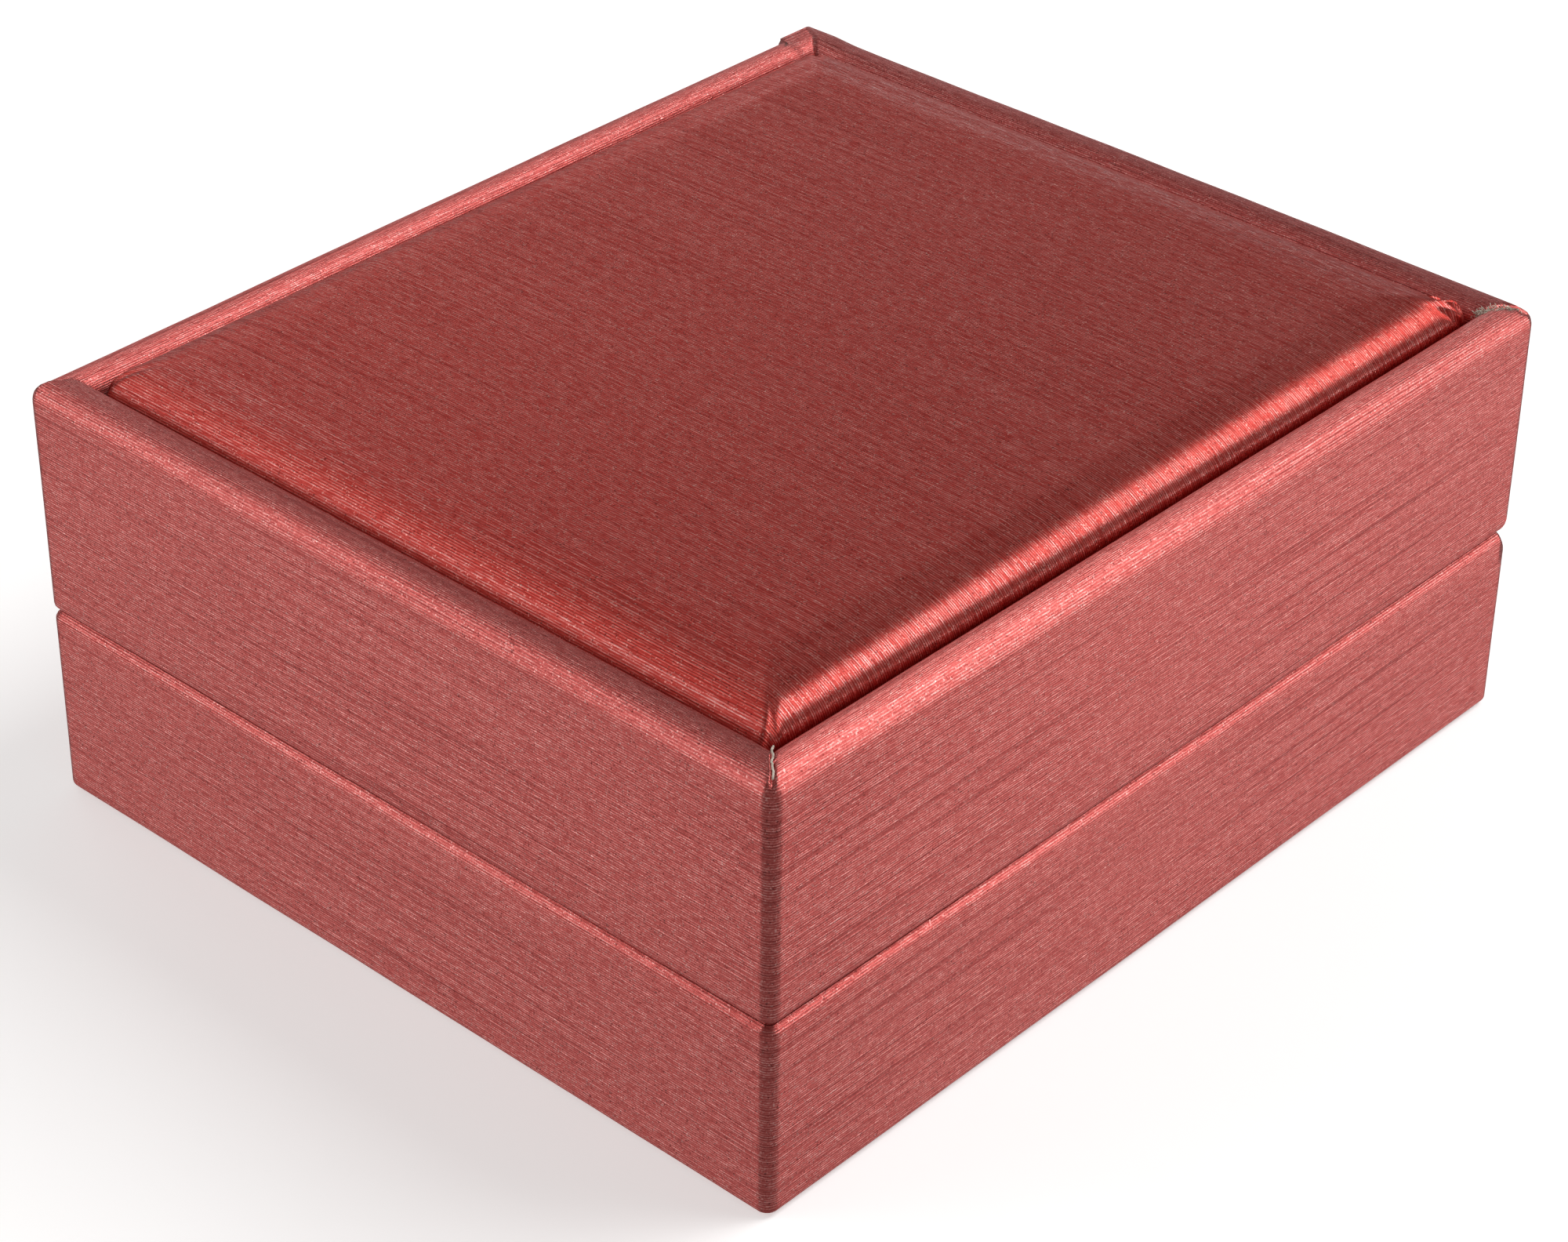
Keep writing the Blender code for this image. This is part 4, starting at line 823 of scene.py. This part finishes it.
def puff(obj, held, cap, rounds):
    """Blow a cover up a little as cloth, with its first points held, and keep the result as its shape."""
    obj.vertex_groups.new(name="held").add(range(held), 1.0, 'REPLACE')
    cloth = obj.modifiers.new("cloth", 'CLOTH')
    settings = cloth.settings
    settings.use_pressure = True
    settings.uniform_pressure_force = FOAM_PRESSURE
    settings.effector_weights.gravity = 0.0
    settings.vertex_group_mass = "held"
    settings.mass = CLOTH_MASS
    settings.quality = 4
    before = rows_of(obj.data.vertices)
    for frame_number in range(1, CLOTH_FRAMES + 1):
        scene.frame_set(frame_number)
    after = rows_of(obj.evaluated_get(bpy.context.evaluated_depsgraph_get()).data.vertices)
    obj.modifiers.remove(cloth)
    obj.vertex_groups.clear()
    scene.frame_set(1)
    move = evened(after - before, obj.data, rounds)
    length = np.linalg.norm(move, axis=1, keepdims=True)
    print(obj.name, "moved up to", round(length.max() / MM, 3), "mm, capped at", round(cap / MM, 2))
    put_back(obj.data, before + move * cap * np.tanh(length / cap) / np.maximum(length, 1e-9))


def make_cover(name, over, material, cap, rounds, **form):
    """Build a cover with the form that cover_mesh asks for, place it and blow it up."""
    mesh, held = cover_mesh(name, over, material, **form)
    obj = place_object(name, mesh)
    puff(obj, held, cap, rounds)
    return obj


# %% [markdown]
# The top pad is the same leatherette over thin foam, glued to a board that drops into the lid's recess. It
# stands a little proud of the rim with a soft roll along its edges, almost flat across its middle. Its
# leatherette runs across the box from side to side, in a copy whose redder colours are painted light and shade.

# %% Top pad
CORNER_POINTS = [0.35, 0.7, 1.1, 1.5, 2.0, 2.5, 3.1, 3.8, 4.6, 5.6, 7.0]
pad = make_cover("pad_leatherette", "pad_cover", PAD_LEATHERETTE_PAINTED_LIGHT, cap=0.15 * MM, rounds=40, side=42.4 * MM,
                 top=45.5 * MM, roll=5.0 * MM, spacing=2.0 * MM, crown=0.35 * MM, close=CORNER_POINTS)

# %% [markdown]
# At the pad's corners the sheet has more cloth than the foam has room for, so it gathers. At the front right
# it sinks in one deep crease with small folds beside it. At the back right it stands up in three narrow folds,
# and at the left corners it is tucked in a little. The mesh is made finer first, with its closing face off and
# on again, and then its points move out or in.

# %% Pad corners: pleats
ROLL_START, ROLL_FULL = 41.5, 43.0
CREASE_PLACE, CREASE_WIDTH, CREASE_DEPTH, CREASE_FADES = -0.05, 0.38, 0.17, (1.0, 5.0)
SMALL_FOLD, SMALL_PLACE, SMALL_LENGTH = 0.05, 1.9, 1.6
PEAK_FOLDS, FOLD_FALL = [(0.66, 0.0, 1.5, 0.75), (0.34, 0.72, 2.5, 0.65), (0.30, -0.66, 1.2, 0.6)], 0.22
PEAK_DIPS, DIP_INWARD, DIP_LENGTH = [(0.20, 0.38, 0.25), (0.26, -1.1, 0.35)], 1.7, 0.9
TUCK_WIDTH, TUCK_DEPTH, TUCK_FADES = 0.5, 0.35, (1.5, 5.0)


def finer(obj):
    """Subdivide a cover without its one large closing face, and then close it again."""
    shape = bmesh.new()
    shape.from_mesh(obj.data)
    bmesh.ops.delete(shape, geom=[f for f in shape.faces if len(f.verts) > 8], context='FACES_ONLY')
    shape.to_mesh(obj.data)
    soft = obj.modifiers.new("finer", 'SUBSURF')
    soft.levels = soft.render_levels = 1
    keep_as_mesh(obj)
    shape.clear()
    shape.from_mesh(obj.data)
    bmesh.ops.holes_fill(shape, edges=[e for e in shape.edges if e.is_boundary], sides=0)
    bmesh.ops.recalc_face_normals(shape, faces=shape.faces)
    shape.to_mesh(obj.data)
    shape.free()
    return obj.data


def bell(value, middle, width):
    return np.exp(-((value - middle) / width) ** 2)


def pleat_corners(mesh, half_x, half_y):
    """Move points along their normals, all in mm. At the peak each fold is (height, place across, place inward,
    length), and each dip beside them (depth, place across, width)."""
    rows, normals = rows_of(mesh.vertices) / MM, rows_of(mesh.vertex_normals, "vector")
    move = np.zeros(len(rows))
    upper = smooth_step(rows[:, 2], ROLL_START, ROLL_FULL)
    for side_x, side_y in ((1, -1), (1, 1), (-1, 1), (-1, -1)):
        u, w = half_x / MM - side_x * rows[:, 0], half_y / MM - side_y * rows[:, 1]
        across, deep = (u - w) / math.sqrt(2), (u + w) / 2
        if (side_x, side_y) == (1, -1):
            crease = bell(across, CREASE_PLACE, CREASE_WIDTH) * (1 - smooth_step(deep, *CREASE_FADES)) * CREASE_DEPTH
            waves = np.sin(w * 5.2 + 0.6 * np.sin(w * 2.1)) * bell(w, SMALL_PLACE, SMALL_LENGTH)
            waves *= (u < 6) * (across < -0.3)
            move += (SMALL_FOLD * waves - crease) * upper
        elif (side_x, side_y) == (1, 1):
            for height, place, inward, length in PEAK_FOLDS:
                move += height * np.exp(-np.abs(across - place) / FOLD_FALL) * bell(deep, inward, length) * upper
            dips = sum(depth * bell(across, place, width) for depth, place, width in PEAK_DIPS)
            move -= dips * bell(deep, DIP_INWARD, DIP_LENGTH) * upper
        else:
            move -= TUCK_DEPTH * bell(across, 0.0, TUCK_WIDTH) * (1 - smooth_step(deep, *TUCK_FADES)) * upper
    put_back(mesh, (rows + normals * move[:, None]) * MM)
    return move


moved = pleat_corners(finer(pad), *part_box("pad_cover")[1].xy)
print("corner pleats move points by", round(moved.min(), 2), "to", round(moved.max(), 2), "mm")
give_frame(pad, "lid", "leatherette", "pad_cover", "pad_foam")

# %% [markdown]
# The ceiling is satin drawn over a thin sheet of foam and glued round a board, so that nothing scratches what
# lies in the box. It is the pad turned over, with a lower roll.

# %% Satin ceiling
ceiling = make_cover("satin_ceiling", "lining_satin", SATIN, cap=0.3 * MM, rounds=6, side=35.9 * MM,
                     top=33.3 * MM, roll=5.0 * MM, spacing=2.0 * MM, crown=0.7 * MM, upside=-1)
give_frame(ceiling, "lid", "satin", "lining_satin", "lining_foam")

# %% [markdown]
# The insert is velvet over foam on a board, and lifts out. Two slits at its back corners hold the ends of a
# chain, so that a necklace lies across it in a curve. The slits are cut through the padded shape, and the
# velvet is first drawn down round each, because the slit pulls the pile into itself.

# %% Velvet insert
SLIT_PLACE, SLIT_TURN = (26.1 * MM, 33.2 * MM), math.radians(45)
SLIT_LENGTH, SLIT_WIDTH, SLIT_DEPTH, CUTTER_TOP = 9.0 * MM, 0.9 * MM, 6.0 * MM, 30.0 * MM
DRAWN_ABOVE, DRAWN_DEPTH, DRAWN_REACH = 15.0 * MM, 0.75 * MM, 1.5 * MM
HEM_FOLD, HEM_END = 0.25 * MM, 0.75 * MM
insert_low, insert_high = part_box("insert_velvet")
board_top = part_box("insert_board")[1].z


def draw_down(mesh, middle, turn):
    """Lower the velvet round a slit, most along its lips."""
    rows = rows_of(mesh.vertices)
    dx, dy = rows[:, 0] - middle[0], rows[:, 1] - middle[1]
    along, across = dx * math.cos(turn) + dy * math.sin(turn), dy * math.cos(turn) - dx * math.sin(turn)
    past = np.clip(np.abs(along) - SLIT_LENGTH / 2, 0, None)
    away = np.sqrt(across ** 2 + past ** 2)
    drawn = DRAWN_DEPTH * np.exp(-(away / DRAWN_REACH) ** 2)
    rows[:, 2] -= np.where(rows[:, 2] > DRAWN_ABOVE, drawn, 0.0)
    put_back(mesh, rows)


hem = [(HEM_END, board_top + 0.05 * MM), (HEM_END, insert_low.z), (HEM_FOLD, insert_low.z)]
insert = make_cover("velvet_insert", "insert_velvet", VELVET, cap=0.25 * MM, rounds=6, side=15.5 * MM,
                    top=17.1 * MM, roll=2.6 * MM, spacing=1.2 * MM, crown=0.3 * MM, hem=hem)
half, deep = SLIT_WIDTH / 2, insert_high.z - SLIT_DEPTH
outline = [(-half, deep), (half, deep), (half, CUTTER_TOP), (-half, CUTTER_TOP)]
slits = []
for side in (-1, 1):
    middle = (side * SLIT_PLACE[0], SLIT_PLACE[1])
    draw_down(insert.data, middle, -side * SLIT_TURN)
    slits.append(prism("slit", outline, -SLIT_LENGTH / 2, SLIT_LENGTH / 2, VELVET, -side * SLIT_TURN, (*middle, 0)))
cut_away(insert, slits)
give_frame(insert, "insert", "velvet", "insert_velvet", "insert_foam")

# %% [markdown]
# Rivets hold the hinge leaves to the board. A rivet is a low dome on a thin shank, set at four places on each
# half. The nodes bend a cylinder into the dome, join the shank, and set one at each point of a small mesh.

# %% Helpers: geometry nodes
def new_tree(name, **inputs):
    """A geometry tree with a Geometry input, and inputs that are values or, with None, materials."""
    tree = bpy.data.node_groups.new(name, "GeometryNodeTree")
    tree.interface.new_socket(name="Geometry", in_out='INPUT', socket_type='NodeSocketGeometry')
    add_inputs(tree, inputs, 'NodeSocketMaterial')
    tree.interface.new_socket(name="Geometry", in_out='OUTPUT', socket_type='NodeSocketGeometry')
    return tree, node(tree, "NodeGroupInput").outputs, node(tree, "NodeGroupOutput").inputs["Geometry"]


def end_tree(tree, geometry, finish, output):
    real = step(tree, "GeometryNodeRealizeInstances", Geometry=geometry)
    smooth = step(tree, "GeometryNodeSetShadeSmooth", Geometry=real)
    feed(output, step(tree, "GeometryNodeSetMaterial", Geometry=smooth, Material=finish))


def grow(name, points, edges, tree, **values):
    """Run a tree on a small mesh of points and edges, and keep the result as a plain piece."""
    mesh = bpy.data.meshes.new(name)
    mesh.from_pydata([tuple(p) for p in points], edges, [])
    obj = place_object(name, mesh)
    modifier = obj.modifiers.new(name, 'NODES')
    modifier.node_group = tree
    names = {item.name: item.identifier for item in tree.interface.items_tree if item.in_out == 'INPUT'}
    for label, value in values.items():
        modifier[names[label.replace("_", " ")]] = value
    obj.update_tag()
    keep_as_mesh(obj)
    return obj


print("geometry node helpers ready")

# %% Geometry nodes: rivet
DOME_ROUNDNESS = 0.93


def rivet_tree():
    tree, given, out = new_tree("rivets", Head_Radius=1.1 * MM, Head_Height=0.5 * MM, Shank_Radius=0.55 * MM,
                                Shank_Length=3.0 * MM, Finish=None)
    head = step(tree, "GeometryNodeMeshCylinder", Vertices=24, Side_Segments=6, Radius=given["Head Radius"],
                Depth=given["Head Height"])
    place = axes(tree, step(tree, "GeometryNodeInputPosition"))
    share = calc(tree, 'ADD', calc(tree, 'DIVIDE', place["Z"], given["Head Height"]), 0.5)
    narrow = calc(tree, 'SQRT', calc(tree, 'MULTIPLY_ADD', calc(tree, 'MULTIPLY', share, share), -DOME_ROUNDNESS, 1.0))
    across = [calc(tree, 'MULTIPLY', place[axis], narrow) for axis in "XY"]
    up = calc(tree, 'MULTIPLY_ADD', given["Head Height"], 0.5, place["Z"])
    dome = step(tree, "GeometryNodeSetPosition", Geometry=head, Position=joined(tree, *across, up))
    shank = step(tree, "GeometryNodeMeshCylinder", Vertices=16, Radius=given["Shank Radius"],
                 Depth=given["Shank Length"])
    drop = joined(tree, z=calc(tree, 'MULTIPLY', given["Shank Length"], -0.5))
    shank = step(tree, "GeometryNodeTransform", Geometry=shank, Translation=drop)
    both = node(tree, "GeometryNodeJoinGeometry")
    for part in (dome, shank):
        feed(both.inputs[0], part)
    placed = step(tree, "GeometryNodeInstanceOnPoints", Points=given["Geometry"], Instance=both.outputs[0],
                  Rotation=(math.radians(90), 0.0, 0.0))
    end_tree(tree, placed, given["Finish"], out)
    return tree


RIVETS = rivet_tree()
print("tree:", RIVETS.name, len(RIVETS.nodes), "nodes")

# %% Rivets
RIVET_HEAD = 0.5 * MM
for body in ("base", "lid"):
    nodes = [f"{body}_rivet_{side}_{k}" for side in ("left", "right") for k in (1, 2)]
    boxes = [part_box(name) for name in nodes]
    points = [((l.x + h.x) / 2, l.y + RIVET_HEAD, (l.z + h.z) / 2) for l, h in boxes]
    rivets = grow(body + "_rivets", points, [], RIVETS, Finish=PLATED, Head_Height=RIVET_HEAD,
                  Shank_Length=boxes[0][1].y - boxes[0][0].y - RIVET_HEAD)
    give_frame(rivets, body, "plated_steel", *nodes)

# %% [markdown]
# Where the rim's mitres gape, the cotton backing shows. At the front right one loose thread lies in the slit,
# and at the back right the cut edge has frayed into a rough white line. Both follow a path, so nodes make
# them: one tree waves a tube along a line, the other sets short crooked fibres all along it.

# %% Geometry nodes: thread and fray
THREAD_BENDS, THREAD_LUMPS, FIBRE_BENDS = 1400.0, 2600.0, 1800.0  # noise lumps per metre


def scaled(tree, vector, amount):
    return stretched(tree, vector, amount, amount, amount)


def wander(tree, geometry, scale, amount):
    """Push points about by noise, in every direction, so that straight tubes turn crooked."""
    cloud = fill(node(tree, "ShaderNodeTexNoise"), Scale=scale).outputs["Color"]
    centred = calc(tree, 'SUBTRACT', cloud, (0.5, 0.5, 0.5), kind="ShaderNodeVectorMath")
    return step(tree, "GeometryNodeSetPosition", Geometry=geometry, Offset=scaled(tree, centred, amount))


def as_tube(tree, curve, thickness):
    outline = step(tree, "GeometryNodeCurvePrimitiveCircle", Resolution=6, Radius=thickness)
    return step(tree, "GeometryNodeCurveToMesh", Curve=curve, Profile_Curve=outline, Fill_Caps=True)


def thread_tree():
    tree, given, out = new_tree("loose_thread", Thickness=0.09 * MM, Waver=0.5 * MM, Finish=None)
    line = step(tree, "GeometryNodeMeshToCurve", Mesh=given["Geometry"])
    line = step(tree, "GeometryNodeResampleCurve", Curve=line, Count=60)
    line = wander(tree, line, THREAD_BENDS, given["Waver"])
    bulge = noise_value(tree, step(tree, "GeometryNodeInputPosition"), THREAD_LUMPS)
    line = step(tree, "GeometryNodeSetCurveRadius", Curve=line, Radius=remap(tree, bulge, 0.35, 0.65, 0.55, 1.5))
    end_tree(tree, as_tube(tree, line, given["Thickness"]), given["Finish"], out)
    return tree


def random_vector(tree, low, high, seed):
    made = node(tree, "FunctionNodeRandomValue", data_type='FLOAT_VECTOR')
    return fill(made, Min=low, Max=high, Seed=seed).outputs["Value"]


def fray_tree():
    tree, given, out = new_tree("frayed_edge", Count=160, Spread=0.3 * MM, Fibre_Length=0.7 * MM,
                                Thickness=0.035 * MM, Seed=4, Finish=None)
    line = step(tree, "GeometryNodeMeshToCurve", Mesh=given["Geometry"])
    spots = step(tree, "GeometryNodeCurveToPoints", Curve=line, Count=given["Count"])
    away = scaled(tree, random_vector(tree, (-1.0, -1.0, -1.0), (1.0, 1.0, 1.0), given["Seed"]), given["Spread"])
    spots = step(tree, "GeometryNodeSetPosition", Geometry=spots, Offset=away)
    fibre = step(tree, "GeometryNodeCurvePrimitiveLine", End=joined(tree, x=given["Fibre Length"]))
    fibre = step(tree, "GeometryNodeResampleCurve", Curve=fibre, Count=9)
    turn = random_vector(tree, (0.0, -0.7, 0.0), (6.28, 0.7, 6.28), calc(tree, 'ADD', given["Seed"], 7.0))
    placed = step(tree, "GeometryNodeInstanceOnPoints", Points=spots, Instance=fibre, Rotation=turn)
    crooked = wander(tree, step(tree, "GeometryNodeRealizeInstances", Geometry=placed), FIBRE_BENDS,
                     calc(tree, 'MULTIPLY', given["Fibre Length"], 1.1))
    end_tree(tree, as_tube(tree, crooked, given["Thickness"]), given["Finish"], out)
    return tree


THREAD, FRAY = thread_tree(), fray_tree()
print("trees:", THREAD.name, FRAY.name)

# %% Thread and fray in the mitres
def path(*points):
    return [tuple(c * MM for c in p) for p in points], [(k, k + 1) for k in range(len(points) - 1)]


mitre_thread = grow("mitre_thread", *path((41.15, -47.9, 43.7), (41.9, -48.8, 44.15), (43.2, -50.2, 44.1),
                                          (44.1, -51.2, 43.75)), THREAD, Finish=FRAYED)
give_frame(mitre_thread, "lid", "leatherette")
mitre_fray = grow("mitre_fray", *path((41.0, 47.8, 43.3), (42.0, 49.0, 43.85), (43.2, 50.3, 43.8), (43.8, 51.0, 43.4)),
                  FRAY, Finish=FRAYED, Count=190, Spread=0.23 * MM, Fibre_Length=0.40 * MM)
give_frame(mitre_fray, "lid", "leatherette")

# %% [markdown]
# The CAD pieces that already have the right shape stay: boards, linings, collars, hinges. Each gets the
# finish that its material slot names. Their meshes are loose triangles, so on the velvet and satin pieces a Weld
# joins them and a small Bevel softens the covered edges, which a cloth-covered board never has sharp.

# %% Finishes of the CAD pieces
FINISH = {"board": BOARD, "velvet": VELVET, "satin": SATIN, "flock": FLOCK, "plated_steel": PLATED,
          "spring_steel": SPRING, "foam": FOAM, "leatherette": LEATHERETTE}
SOFT_EDGES = {"velvet": 0.35 * MM, "satin": 0.2 * MM}
kept = 0
for name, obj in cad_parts.items():
    for slot in obj.material_slots:
        slot_name = slot.material.name if slot.material else ""
        if slot_name in FINISH:
            slot.material = FINISH[slot_name]
            kept += 1
        if slot_name in SOFT_EDGES and name not in ("insert_velvet", "lining_satin"):
            weld = obj.modifiers.new("weld", 'WELD')
            weld.merge_threshold = 0.001 * MM
            bevel = obj.modifiers.new("soft_edges", 'BEVEL')
            bevel.width, bevel.segments, bevel.limit_method = SOFT_EDGES[slot_name], 3, 'ANGLE'
            bevel.angle_limit = math.radians(50)
print("CAD pieces with a finish:", kept)
